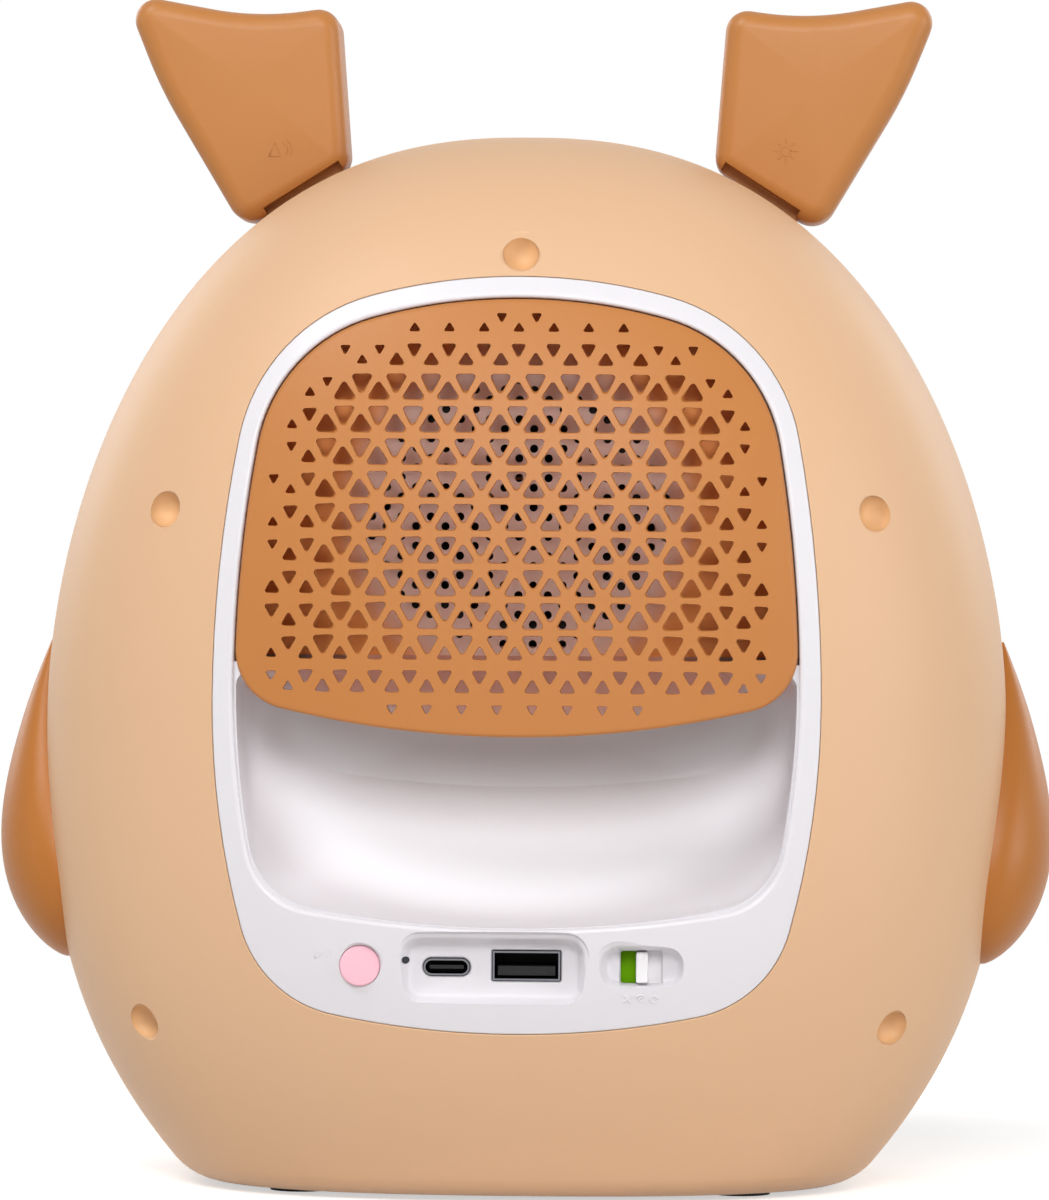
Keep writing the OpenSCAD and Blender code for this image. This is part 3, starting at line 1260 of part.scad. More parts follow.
// Side and thickness of the lights, and their places as shares of half the board
light_chip = [3.6, 1.2];
night_light_at = [for (u = [-0.67, 0, 0.67], v = [-0.68, 0.12, 0.74]) [u, v]];
module night_lights() {
    w = light_chip[0] / 2;
    color([1, 0.95, 0.7]) for (p = night_light_at) let (
        x = p[0] * light_half, z = light_mid_z + p[1] * light_half)
        box([x - w, light_board_y, z - w], [x + w, light_board_y + light_chip[1], z + w]);
}
module light_board_screws() {
    color(steel) for (p = light_posts) {
        rod(p[0], p[1], 4.2, light_board_y - board_t - 1.5, light_board_y - board_t, 32);
        rod(p[0], p[1], small_screw_d, light_board_y - board_t - step, light_board_y + 5, 32);
    }
    color(steel) both_sides() for (p = face_tab_at) {
        rod(p[0], p[1], 4.2, face_tab_y - tab_t - 1.5, face_tab_y - tab_t, 32);
        rod(p[0], p[1], small_screw_d, face_tab_y - tab_t - step, face_tab_y + 2.8, 32);
    }
}

rear_shell();
front_shell();
handle_tub();
grille_cover();
speaker_baffle();
left_ear();
right_ear();
left_ear_pin();
right_ear_pin();
ear_boards();
ear_switches();
left_arm();
right_arm();
arm_screws();
screw_plugs();
case_screws();
tub_screws();
rubber_feet();
driver_frame();
driver_gasket();
driver_surround();
driver_cone();
driver_dust_cap();
driver_spider();
driver_voice_coil();
driver_top_plate();
driver_magnet();
driver_yoke();
driver_screws();
main_board();
radio_module();
board_chips();
board_screws();
usb_c_shell();
usb_c_tongue();
usb_a_shell();
usb_a_tongue();
play_button();
button_switch();
charge_light();
light_pipe();
switch_slider();
switch_flag();
switch_lever();
switch_body();
battery_holder();
battery_cells();
battery_screws();
face_panel();
muzzle();
nose();
eyes();
light_board();
night_lights();
light_board_screws();
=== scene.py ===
import json
import math

import bmesh
import bpy
import numpy as np
from mathutils import Matrix, Vector


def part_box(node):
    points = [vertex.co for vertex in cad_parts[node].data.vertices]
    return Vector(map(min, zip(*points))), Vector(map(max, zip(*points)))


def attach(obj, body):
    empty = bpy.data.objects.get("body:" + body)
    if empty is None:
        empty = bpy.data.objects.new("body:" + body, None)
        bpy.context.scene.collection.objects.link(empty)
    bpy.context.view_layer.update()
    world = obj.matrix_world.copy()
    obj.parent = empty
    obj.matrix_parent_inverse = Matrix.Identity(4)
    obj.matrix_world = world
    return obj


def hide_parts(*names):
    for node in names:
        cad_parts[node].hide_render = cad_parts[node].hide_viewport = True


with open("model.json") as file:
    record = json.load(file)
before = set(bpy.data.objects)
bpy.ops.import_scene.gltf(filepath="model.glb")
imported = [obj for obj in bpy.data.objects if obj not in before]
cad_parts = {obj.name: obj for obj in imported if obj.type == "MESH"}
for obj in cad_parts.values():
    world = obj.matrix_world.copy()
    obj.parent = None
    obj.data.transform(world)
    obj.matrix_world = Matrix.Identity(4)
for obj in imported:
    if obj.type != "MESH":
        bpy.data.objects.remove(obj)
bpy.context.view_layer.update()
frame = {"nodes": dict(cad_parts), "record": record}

# ---------------------------------------------------------------- sizes, in millimetres
# Body: half width, top, widest height, base, and the depths to both sides of the seam
BODY_HALF, BODY_TOP, WAIST, BASE = 97.4, 212.3, 94.0, 1.0
REAR, FRONT = 72.0, 80.0
DOME_P, DOME_RISE, SIDE_P = 2.37, 1.87, 2.5
FLANK_P, FLANK_RISE, REACH, PLAN_P = 1.2, 2.75, 135.0, 2.5
BASE_R, WALL = 4.0, 2.4
# Rows above and below the waist and columns of a shell's outside and inside
SHELL_MESH, LINING_MESH = (56, 34, 120), (30, 16, 60)
# The shells draw back a little at the seam, within this angle in degrees
SEAM, SEAM_TURN = 0.25, 0.13

# Bezel, mouth and scoop of the hand recess
BEZEL = dict(top=181.4, top_r=112.0, half=59.1, mid=98.6, side_r=290.0, low_r=170.0,
             bottom=34.2, bottom_r=181.0, corner=35.0, low_corner=23.0)
BEZEL_MIDDLE, BEZEL_EDGE, BEZEL_GAP = (0.0, 108.0), 0.35, 0.08
RIM, MOUTH_BOTTOM, MOUTH_R, MOUTH_CORNER, MOUTH_EDGE = 4.2, 54.7, 250.0, 14.0, 1.1
MOUTH_HALF, MOUTH_MID, MOUTH_MIDDLE = BEZEL["half"] - RIM, BEZEL["mid"] + 2.4, (0.0, 112.0)
CEILING, CEILING_R, RECESS_BACK, TUB_WALL = 107.0, 500, 40.0, 2.2
SCOOP_FRONT, SCOOP_ROLL, SCOOP_TOP, SCOOP_CORNER = REAR + 2, 4, CEILING - 3, 3
SCOOP_BACK_R, SCOOP_INSET, SCOOP_DRAFT = 8, 0.15, 0.03
LEDGE, BAFFLE_Y, BAFFLE_T = 5.0, 55.0, 2.0
# Room behind the cover, from y to y, and the walls behind the panel's pockets and button
ROOM_FRONT, ROOM_BACK = -70, BAFFLE_T - BAFFLE_Y
BLOCK_R, BLOCK_RINGS = 3, ((0, -74), (-2, -62))
SLEEVE_WALL, SLEEVE_FRONT, SLEEVE_BACK = 2, -74, -62.5

# Speaker cover and its holes
COVER_GAP, COVER_T, COVER_EDGE, LIP_Z, LIP_R, LIP_CORNER = 0.25, 2.0, 0.7, 91.8, 200.0, 11.6
COVER_MIDDLE = (0.0, 136.0)
HOLE_TOP, HOLE_ROW, HOLE_PITCH, HOLE_SHIFT = 172.3, 6.35, 6.78, 1.16
HOLE_SIZES, HOLE_MARGIN = (3.6, 2.5, 1.75), 2.6
# Scale and height above the surface of the rings of a hole's cutter
HOLE_RINGS = ((1.35, 1.6), (1.12, 0.03), (1.03, -0.18), (1.0, -0.5), (1.0, -6))
# Columns on each side of the middle in every row: all, those of large and of middle holes
ROW_LAST = (6, 10, 12, 13, 13, 14, 14, 14, 14, 14, 14, 14, 7)
ROW_LARGE = (-1, -1, 10, 11, 11, 11, 11, 11, 11, 11, 11, -1, -1)
ROW_MIDDLE = (-1, 7, 10, 12, 12, 12, 13, 13, 14, 14, 13, 12, -1)

# Control panel: pockets (x, width, height), button, light hole, sockets and switch
CONTROL_Z, POCKET_Y, SLOPE, POCKET_R = 47.3, 64.0, 1.6, 2.6
PORT_POCKET, PORT_Z, SWITCH_POCKET = (-4.0, 36.4, 14.1), 46.8, (25.1, 17.6, 9.4)
PORT_DROP, POCKET_WALL, POCKET_SOFT, POCKET_DEPTH = 0.5, 3.0, 0.7, 7.0
# Growth and height of a pocket's rings, from the surface and from its floor
POCKET_TOP = ((0.55, 0.05), (0.1, -0.12), (-0.25, -0.4), (-0.42, -0.85), (-0.45, -1.4))
POCKET_LOW = ((-0.25, 1.0), (-0.3, 0.5), (-0.5, 0.15), (-0.9, 0.0))
BUTTON_X, BUTTON_D, BUTTON_GAP, BUTTON_EDGE = -29.8, 7.9, 0.07, 0.45
LIGHT_X, LIGHT_Z, LIGHT_D = -21.0, 48.4, 1.3
USB_C, USB_C_Z, USB_A, USB_A_Z = (-13.1, 8.94, 3.26), 47.05, (2.4, 13.1, 5.7), 47.4
SOCKET_GAP = 0.3
SWITCH_X, WINDOW_X, WINDOW, KNOB = 24.8, 24.6, (7.9, 6.3), (2.3, 6.0)
# y of the knob's foot, and of the front and the back of its skirt
KNOB_FOOT, SKIRT = -62.2, (-62.6, -61.7)

# Screw plugs: x, z, yaw and pitch, and the profiles (radius, height) round them
SCREWS = ((0, 186.2, 0, 17), (69.8, 135.7, 27, 6), (-69.8, 135.7, -27, 6),
          (74, 34.4, 31, -18), (-74, 34.4, -31, -18))
PLUG_R, BOWL_R, BOWL_RISE = 6.9 / 2, 3.6, 0.3
BOSS = [(5.2, -9), (5.2, -1.6)]
DIMPLE = [(PLUG_R, -11), (PLUG_R, -0.75), (PLUG_R + 0.08, -0.45), (PLUG_R + 0.25, -0.2),
          (PLUG_R + 0.6, 0.05), (PLUG_R + 0.9, 1.5), (PLUG_R + 0.9, 9)]

# Ears, in a frame that stands on the dome. Foot and blade are half width, half depth and
# two heights, and the pin and the shell's slot lie round the foot.
EAR_X, EAR_Y, EAR_T, EAR_ROUND, EAR_TURN = 47.8, 11.0, 18.0, 3.8, 4
EAR_CORNERS = ((-28.1, 29.3, 4.5), (-12.7, 36.4, 60.0), (7.9, 55.6, 4.4),
               (11.9, 34.5, 90.0), (12.9, 1.0, 5.0), (-12.6, 0.4, 4.4))
UNDERCUT = (-11.2, 7.0, 2.4)
EAR_FOOT = (7.5, 3.5, -10.5, 1.0)
EAR_BLADE = (5, 2, -15.5, -9)
PIN_R, PIN_Z, PIN_REACH = 1.6, -7.5, 12
SLOT_GAP, SLOT_TOP = 0.3, 12

# Paws: two heights, how far they stand out, half depth, middle and slant, and then the
# offsets from the body, the exponents of their section and height, and the end angles
PAW_TOP, PAW_BOTTOM, PAW_BULGE, PAW_HALF, PAW_Y, PAW_SLANT = 111.2, 45.4, 9.9, 17.6, -6.0, 8.5
PAW_LIFT, PAW_SINK, PAW_P, PAW_EGG, PAW_ENDS = 0.55, 0.25, 2.2, 0.615, (0.0775, 2.917)

# Face panel, and the places of the feet with the diameter and depth of their recesses
FACE = dict(top=176.0, top_r=70.0, half=56.0, mid=124.0, side_r=120.0, low_r=110.0,
            bottom=84.0, bottom_r=90.0, corner=26.0, low_corner=24.0)
FACE_GAP, FACE_EDGE, FACE_T, FACE_MIDDLE = 0.2, 0.5, 2.0, (0.0, 130.0)
FEET = ((44, 27), (-44, 27), (44, -25), (-44, -25))
FOOT_D, FOOT_DEPTH = 12.3, 1.6

# Raised marks: places, and width and height of the lines on the ears and on the panel
EAR_MARK_X, EAR_MARK_Z, SWITCH_MARK_Z = 52, 210.3, 41.3
EAR_LINE, SWITCH_LINE, PLAY_LINE = (0.45, 0.12), (0.42, 0.22), (0.35, 0.1)

# Reach of the cutters, and how far those of an edge start outside the body and the outline
FAR, NEAR, CUT_DEPTH, CUT_OUT, CUT_WIDE = 120.0, 6, 12, 6, 0.3


# ---------------------------------------------------------------- shape functions
def curve(t, p, rise=None):
    return np.maximum(0.0, 1.0 - np.abs(t) ** (rise or p)) ** (1.0 / p)


def share(z, d, p, rise):
    """Share of the full width or depth at the height z, d below the surface."""
    up = curve(np.minimum(1.0, np.maximum(0.0, z - WAIST) / (BODY_TOP - d - WAIST)), p, rise)
    down = curve(np.minimum(1.0, np.maximum(0.0, WAIST - z) / (REACH - d)),
                 FLANK_P, FLANK_RISE)
    return np.where(z >= WAIST, up, down)


def base_cut(z, d):
    h = np.maximum(0.0, BASE_R - (z - BASE - d))
    return BASE_R - np.sqrt(np.maximum(0.0, BASE_R ** 2 - h * h))


def half_w(z, d=0.0):
    z = np.asarray(z, float)
    return (BODY_HALF - d) * share(z, d, DOME_P, DOME_RISE) - base_cut(z, d)


def half_d(z, depth, d=0.0):
    z = np.asarray(z, float)
    return (depth - d) * share(z, d, SIDE_P, SIDE_P) - base_cut(z, d)


def depth_at(x, z, depth):
    w = np.maximum(1e-6, half_w(z))
    return half_d(z, depth) * curve(np.minimum(1.0, np.abs(x) / w), PLAN_P)


def width_at(y, z):
    d = np.maximum(1e-6, half_d(z, REAR if y < 0 else FRONT))
    return half_w(z) * curve(np.minimum(1.0, abs(y) / d), PLAN_P)


def dome_z(x):
    return WAIST + (BODY_TOP - WAIST) * float(curve(x / BODY_HALF, DOME_RISE, DOME_P))


def side_of(depth):
    """Sign of Y on the side of the seam that has this depth."""
    return -1 if depth == REAR else 1


def meet(p, rp, q, rq, s):
    """Where circles round p and q cross, on the side s."""
    d = np.linalg.norm(q - p)
    u = (q - p) / d
    a = (rp * rp - rq * rq + d * d) / (2 * d)
    h = math.sqrt(max(0.0, rp * rp - a * a))
    return p + a * u + s * h * np.array([-u[1], u[0]])


def angle_of(v):
    return math.degrees(math.atan2(v[1], v[0]))


def arc(c, r, a0, a1, n):
    a = np.radians(np.linspace(a0, a1, n + 1))
    return [c + r * np.array([math.cos(t), math.sin(t)]) for t in a]


def pad(top, top_r, half, mid, side_r, low_r, bottom, bottom_r, corner, low_corner, n=8):
    """Closed outline of tangent arcs in X and Z, clockwise from its top."""
    ct, cs = np.array([0.0, top - top_r]), np.array([half - side_r, mid])
    cl, cb = np.array([half - low_r, mid]), np.array([0.0, bottom + bottom_r])
    c1 = meet(ct, top_r - corner, cs, side_r - corner, -1)
    c2 = meet(cb, bottom_r - low_corner, cl, low_r - low_corner, 1)
    # The two arcs of a side meet at its middle, or just clear of a corner that reaches it
    split = min(angle_of(c1 - cs) - 0.03, max(0.0, angle_of(c2 - cl) + 0.6))
    right = (arc(ct, top_r, 90, angle_of(c1 - ct), 2 * n)[:-1]
             + arc(c1, corner, angle_of(c1 - ct), angle_of(c1 - cs), 2 * n)[:-1]
             + arc(cs, side_r, angle_of(c1 - cs), split, n)[:-1]
             + arc(cl, low_r, split, angle_of(c2 - cl), n)[:-1]
             + arc(c2, low_corner, angle_of(c2 - cl), angle_of(c2 - cb), 2 * n)[:-1]
             + arc(cb, bottom_r, angle_of(c2 - cb), -90, 2 * n))
    left = [np.array([-p[0], p[1]]) for p in right[-2:0:-1]]
    return np.array(right + left)


def grown(shape, g):
    """Sizes of the outline that lies further out by g."""
    wider = {key: value + g for key, value in shape.items()}
    wider.update(mid=shape["mid"], bottom=shape["bottom"] - g)
    return wider


def mouth(inset):
    return pad(top=BEZEL["top"] - RIM - inset, top_r=BEZEL["top_r"] - RIM - inset,
               half=MOUTH_HALF - inset, mid=MOUTH_MID,
               side_r=BEZEL["side_r"] - inset, low_r=BEZEL["low_r"] - inset,
               bottom=MOUTH_BOTTOM + inset, bottom_r=MOUTH_R,
               corner=BEZEL["corner"] - RIM - inset, low_corner=MOUTH_CORNER)


COVER = dict(top=BEZEL["top"] - RIM - COVER_GAP, top_r=BEZEL["top_r"] - RIM - COVER_GAP,
             half=MOUTH_HALF - COVER_GAP, mid=MOUTH_MID,
             side_r=BEZEL["side_r"] - RIM, low_r=BEZEL["side_r"] - RIM,
             bottom=LIP_Z, bottom_r=LIP_R,
             corner=BEZEL["corner"] - RIM - COVER_GAP, low_corner=LIP_CORNER)


def inset_line(line, e):
    """The outline moved inwards by e (outwards where e is negative)."""
    nxt, prv = np.roll(line, -1, 0), np.roll(line, 1, 0)
    t = nxt - prv
    t /= np.linalg.norm(t, axis=1)[:, None]
    return line + e * np.column_stack([t[:, 1], -t[:, 0]])


def turns(n):
    return np.linspace(0, 2 * math.pi, n, endpoint=False)


# ---------------------------------------------------------------- mesh helpers
def link(name, mesh):
    obj = bpy.data.objects.new(name, mesh)
    bpy.context.scene.collection.objects.link(obj)
    return obj


def make(name, verts, faces):
    mesh = bpy.data.meshes.new(name)
    mesh.from_pydata((np.asarray(verts, float) * 0.001).tolist(), [], faces)
    bm = bmesh.new()
    bm.from_mesh(mesh)
    bmesh.ops.remove_doubles(bm, verts=bm.verts, dist=1e-7)
    bmesh.ops.recalc_face_normals(bm, faces=bm.faces)
    bm.to_mesh(mesh)
    bm.free()
    return link(name, mesh)


def loft(name, rings, first=None, last=None):
    """Closed solid through rings of equal length. The ends are fans round their middles."""
    n, m = len(rings[0]), len(rings)
    verts = [tuple(p) for r in rings for p in r]
    faces = [(i * n + k, i * n + (k + 1) % n, (i + 1) * n + (k + 1) % n, (i + 1) * n + k)
             for i in range(m - 1) for k in range(n)]
    for i, middle in ((0, first), (m - 1, last)):
        verts.append(tuple(np.mean(rings[i], axis=0) if middle is None else middle))
        faces += [(i * n + k, i * n + (k + 1) % n, len(verts) - 1) for k in range(n)]
    return make(name, verts, faces)


def combine(target, tool, how="DIFFERENCE"):
    mod = target.modifiers.new("cut", "BOOLEAN")
    mod.operation, mod.object, mod.solver = how, tool, "MANIFOLD"
    graph = bpy.context.evaluated_depsgraph_get()
    mesh = bpy.data.meshes.new_from_object(target.evaluated_get(graph))
    target.modifiers.clear()
    old, target.data = target.data, mesh
    bpy.data.meshes.remove(old)
    bpy.data.objects.remove(tool)


def joined(name, objs):
    verts, faces = [], []
    for o in objs:
        base = len(verts)
        verts += [tuple(v.co) for v in o.data.vertices]
        faces += [tuple(base + i for i in p.vertices) for p in o.data.polygons]
        bpy.data.objects.remove(o)
    mesh = bpy.data.meshes.new(name)
    mesh.from_pydata(verts, [], faces)
    return link(name, mesh)


def prism(name, line, y0, y1):
    return loft(name, [[(p[0], y, p[1]) for p in line] for y in (y0, y1)])


def box(name, a, b):
    v = [(x, y, z) for x in (a[0], b[0]) for y in (a[1], b[1]) for z in (a[2], b[2])]
    return make(name, v, [(0, 1, 3, 2), (4, 6, 7, 5), (0, 4, 5, 1),
                          (2, 3, 7, 6), (0, 2, 6, 4), (1, 5, 7, 3)])


def lower_part(top):
    """Everything below this height."""
    return box("lower", (-FAR, -FAR, -1), (FAR, NEAR, top))


def rod(name, x, z, d, y0, y1, n=64):
    return loft(name, [[(x + d / 2 * math.cos(t), y, z + d / 2 * math.sin(t))
                        for t in turns(n)] for y in (y0, y1)])


def post(name, x, y, d, z0, z1, n=64):
    return loft(name, [[(x + d / 2 * math.cos(t), y + d / 2 * math.sin(t), z)
                        for t in turns(n)] for z in (z0, z1)])


def turned(name, profile, matrix, n=64):
    obj = loft(name, [[(r * math.cos(t), r * math.sin(t), z) for t in turns(n)]
                      for r, z in profile])
    obj.data.transform(matrix)
    return obj


def mirror(mesh):
    mesh.transform(Matrix.Scale(-1, 4, (1, 0, 0)))
    mesh.flip_normals()


def mirrored(name, obj):
    mesh = obj.data.copy()
    mirror(mesh)
    return link(name, mesh)


def rounded_ring(x, z, w, h, r, y, n=8):
    pts = []
    for k in range(4):
        cx = x + (-1, 1, 1, -1)[k] * (w / 2 - r)
        cz = z + (1, 1, -1, -1)[k] * (h / 2 - r)
        for j in range(n + 1):
            a = math.radians(180 - 90 * k - 90 * j / n)
            pts.append((cx + r * math.cos(a), y, cz + r * math.sin(a)))
    return pts


def body_gradient(v, depth):
    """Outward normals of the body's surface and the distance of each point from it."""
    def f(x, y, z):
        w, d = np.maximum(0.05, half_w(z)), np.maximum(0.05, half_d(z, depth))
        return (np.abs(x) / w) ** PLAN_P + (np.abs(y) / d) ** PLAN_P - 1
    x, y, z = v[:, 0], v[:, 1], np.minimum(v[:, 2], BODY_TOP - 0.02)
    h = 0.02
    g = np.column_stack([(f(x + h, y, z) - f(x - h, y, z)), (f(x, y + h, z) - f(x, y - h, z)),
                         (f(x, y, z + h * 0.5) - f(x, y, z - h * 0.5)) * 2]) / (2 * h)
    size = np.maximum(1e-9, np.linalg.norm(g, axis=1))
    return g / size[:, None], f(x, y, z) / size


def read(items, key, kind, size=1):
    """One value, or a row of them, of each mesh element."""
    values = np.empty(len(items) * size, kind)
    items.foreach_get(key, values)
    return values.reshape(-1, size) if size > 1 else values


# A point within ON_BODY of the surface and above the base's edge gets the surface's normal,
# and one within TOP_CAP of the top an upright one
ON_BODY, BASE_EDGE, TOP_CAP = 0.03, 0.3, 0.5


def smooth(obj, angle=32, depth=None):
    """Smooth shading with sharp edges, and true normals where a piece lies on the body."""
    mesh = obj.data
    mesh.shade_smooth()
    mesh.set_sharp_from_angle(angle=math.radians(angle))
    if depth is None:
        return obj
    co = read(mesh.vertices, "co", float, 3) * 1000
    normal, away = body_gradient(co, depth)
    normal[co[:, 2] > BODY_TOP - TOP_CAP] = (0, 0, 1)
    on = (np.abs(away) < ON_BODY) & (co[:, 2] > BASE + BASE_EDGE)
    on &= co[:, 1] * side_of(depth) > -0.001
    loops = read(mesh.loops, "vertex_index", int)
    flat = read(mesh.polygons, "normal", float, 3)
    counts = read(mesh.polygons, "loop_total", int)
    face_of = np.repeat(np.arange(len(counts)), counts)
    # A face is on the surface where all its corners are
    bad = np.zeros(len(counts))
    np.add.at(bad, face_of, ~on[loops])
    aligned = (flat[face_of] * normal[loops]).sum(1) > 0.9
    custom = np.where(((bad[face_of] == 0) & aligned)[:, None], normal[loops], 0.0)
    mesh.normals_split_custom_set(custom.tolist())
    return obj


# ---------------------------------------------------------------- materials
def lin(r, g, b):
    """Display colour from 0 to 255 as a linear one."""
    return tuple(((c / 255 + 0.055) / 1.055) ** 2.4 if c > 10 else c / 255 / 12.92
                 for c in (r, g, b))


def add(tree, kind, **inputs):
    node = tree.nodes.new(kind)
    for key, value in inputs.items():
        node.inputs[key].default_value = value
    return node


def mix_colors(tree, factor, a=None, b=None):
    mix = tree.nodes.new("ShaderNodeMix")
    mix.data_type = "RGBA"
    tree.links.new(factor, mix.inputs["Factor"])
    for key, color in (("A", a), ("B", b)):
        if color:
            mix.inputs[key].default_value = (*color, 1)
    return mix


# Scale of the soft drift, spread of the gloss, gloss of a coat, and depth of the grain in metres
DRIFT_SCALE, GLOSS_SPREAD, COAT_ROUGH, GRAIN_DEPTH = 14.0, 0.08, 0.15, 0.0002


def material(name, rgb, rough, bump, grain, drift, coat=0.0, metal=0.0, spec=0.35):
    """Moulded plastic, metal or rubber with fine grain, soft colour drift and uneven gloss."""
    m = bpy.data.materials.new(name)
    m.use_nodes = True
    t = m.node_tree
    t.nodes.clear()
    p = add(t, "ShaderNodeBsdfPrincipled", Metallic=metal, **{"Specular IOR Level": spec})
    t.links.new(p.outputs[0], t.nodes.new("ShaderNodeOutputMaterial").inputs[0])
    if coat:
        p.inputs["Coat Weight"].default_value = coat
        p.inputs["Coat Roughness"].default_value = COAT_ROUGH
    coord = t.nodes.new("ShaderNodeTexCoord")
    wide = add(t, "ShaderNodeTexNoise", Scale=DRIFT_SCALE, Detail=3.0)
    fine = add(t, "ShaderNodeTexNoise", Scale=grain, Detail=2.0)
    for n in (wide, fine):
        t.links.new(coord.outputs["Object"], n.inputs["Vector"])
    color = mix_colors(t, wide.outputs["Fac"], [max(0.0, c * (1 - drift)) for c in lin(*rgb)],
                       [min(1.0, c * (1 + drift)) for c in lin(*rgb)])
    t.links.new(color.outputs["Result"], p.inputs["Base Color"])
    gloss = add(t, "ShaderNodeMapRange", **{"To Min": max(0.02, rough - GLOSS_SPREAD),
                                            "To Max": min(1.0, rough + GLOSS_SPREAD)})
    t.links.new(fine.outputs["Fac"], gloss.inputs["Value"])
    t.links.new(gloss.outputs["Result"], p.inputs["Roughness"])
    relief = add(t, "ShaderNodeBump", Strength=bump, Distance=GRAIN_DEPTH)
    t.links.new(fine.outputs["Fac"], relief.inputs["Height"])
    t.links.new(relief.outputs["Normal"], p.inputs["Normal"])
    return m


def fade_to(m, axes, centre, inner, outer, rgb):
    """Fades the colour to another one with the distance from a place, along the given axes."""
    t = m.node_tree
    p = next(n for n in t.nodes if n.type == "BSDF_PRINCIPLED")
    old = p.inputs["Base Color"].links[0].from_socket
    flat = t.nodes.new("ShaderNodeVectorMath")
    flat.operation = "MULTIPLY"
    flat.inputs[1].default_value = axes
    t.links.new(t.nodes.new("ShaderNodeTexCoord").outputs["Object"], flat.inputs[0])
    far = t.nodes.new("ShaderNodeVectorMath")
    far.operation = "DISTANCE"
    far.inputs[1].default_value = centre
    t.links.new(flat.outputs[0], far.inputs[0])
    fade = add(t, "ShaderNodeMapRange", **{"From Min": inner, "From Max": outer})
    fade.interpolation_type = "SMOOTHSTEP"
    t.links.new(far.outputs["Value"], fade.inputs["Value"])
    mix = mix_colors(t, fade.outputs[0], b=lin(*rgb))
    t.links.new(old, mix.inputs["A"])
    t.links.new(mix.outputs["Result"], p.inputs["Base Color"])


# Display colour, roughness, bump, grain, drift, and coat, metal and gloss where they differ
LOOKS = {
    "cream_shell": ((215, 175, 138), 0.5, 0.05, 1500, 0.012),
    "warm_white": ((220, 217, 221), 0.38, 0.03, 1700, 0.008, 0.1),
    "caramel_cover": ((183, 117, 58), 0.46, 0.05, 1500, 0.02),
    "ear_brown": ((180, 118, 60), 0.42, 0.05, 1300, 0.03),
    # Painted shade: paw_brown is the ears' brown plastic made darker for the shade on the paws'
    # sides
    "paw_brown": ((172, 105, 38), 0.42, 0.05, 1300, 0.03),
    # Painted light: the white baffle is given a pink, near full white colour, a painted
    # reflection of the caramel cover and painted light for its shade behind the cover
    "baffle_white": ((255, 222, 210), 0.45, 0.03, 1500, 0.01),
    "pink_button": ((242, 186, 200), 0.4, 0.03, 1600, 0.01),
    "green_flag": ((104, 164, 0), 0.6, 0.03, 1500, 0.02, 0.0, 0.0, 0.08),
    "switch_white": ((238, 236, 238), 0.35, 0.03, 1500, 0.01),
    "black_plastic": ((30, 29, 31), 0.5, 0.05, 1500, 0.1, 0.0, 0.0, 0.25),
    "socket_steel": ((122, 122, 127), 0.3, 0.04, 700, 0.04, 0.0, 1.0),
    "screw_steel": ((180, 181, 184), 0.32, 0.04, 700, 0.05, 0.0, 1.0),
    "motor_iron": ((150, 150, 152), 0.4, 0.05, 600, 0.06, 0.0, 1.0),
    "magnet": ((48, 46, 46), 0.6, 0.1, 500, 0.1),
    "cone_paper": ((40, 40, 43), 0.75, 0.3, 700, 0.12),
    "surround_rubber": ((24, 24, 24), 0.55, 0.08, 900, 0.08),
    "spider_cloth": ((196, 150, 84), 0.8, 0.3, 600, 0.12),
    "coil_copper": ((200, 120, 70), 0.35, 0.2, 900, 0.08, 0.0, 1.0),
    "plug_cream": ((220, 174, 126), 0.5, 0.05, 1500, 0.012),
    "circuit_board": ((28, 96, 58), 0.35, 0.05, 500, 0.12, 0.3),
    "white_board": ((240, 240, 236), 0.4, 0.03, 600, 0.02),
    "foot_rubber": ((46, 46, 48), 0.7, 0.2, 900, 0.08),
    "cell_wrap": ((50, 110, 170), 0.3, 0.03, 700, 0.05),
    "panel_milk": ((250, 246, 238), 0.3, 0.02, 1500, 0.01, 0.2),
    "face_dark": ((64, 40, 30), 0.2, 0.02, 900, 0.05, 0.5),
    "light_pipe": ((20, 23, 36), 0.1, 0.02, 900, 0.02, 0.6),
    "light_chip": ((250, 240, 190), 0.4, 0.03, 900, 0.02),
}
MATS = {name: material(name, *look) for name, look in LOOKS.items()}

# Factors of the axes, centre, and the distances, in metres, where a fade begins and ends
for name, *fade in (
        # Painted shade and reflection: the baffle fades to caramel further out, a painted shade
        # with the cover's brown light on it
        ("baffle_white", (1, 0, 1), (0, 0, 0.1345), 0.028, 0.037, (255, 164, 88)),
        # Painted light and shade on the hand recess: a painted pool of light at its floor,
        # painted shade behind the lip, and there a painted warm reflection of the caramel cover
        ("warm_white", (0.6, 1, 0.8), (0, -0.04, 0.071), 0.036, 0.025, (250, 251, 255)),
        ("warm_white", (0.25, 1.2, 1), (0, -0.045, 0.097), 0.019, 0.008, (184, 179, 179)),
        ("warm_white", (0.2, 1.0, 1), (0, -0.045, 0.1045), 0.0125, 0.009, (214, 162, 145)),
        # Painted shade: the sockets' steel turns black inside, behind their mouths
        ("socket_steel", (0, 1, 0), (0, -0.066, 0), 0.0023, 0.0027, (14, 14, 15))):
    fade_to(MATS[name], *fade)

for row in frame["record"]["subparts"]:
    mesh = frame["nodes"][row["node"]].data
    slot = "black_plastic" if row["node"] == "usb_a_tongue" else row["material_slot"]
    mesh.materials.clear()
    mesh.materials.append(MATS[slot])


def dress(obj, body, slot, *nodes, look=None):
    """Gives a piece its material and its place among the bodies and the CAD nodes."""
    obj.data.materials.clear()
    obj.data.materials.append(MATS[look or slot])
    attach(obj, body)
    if nodes:
        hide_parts(*nodes)


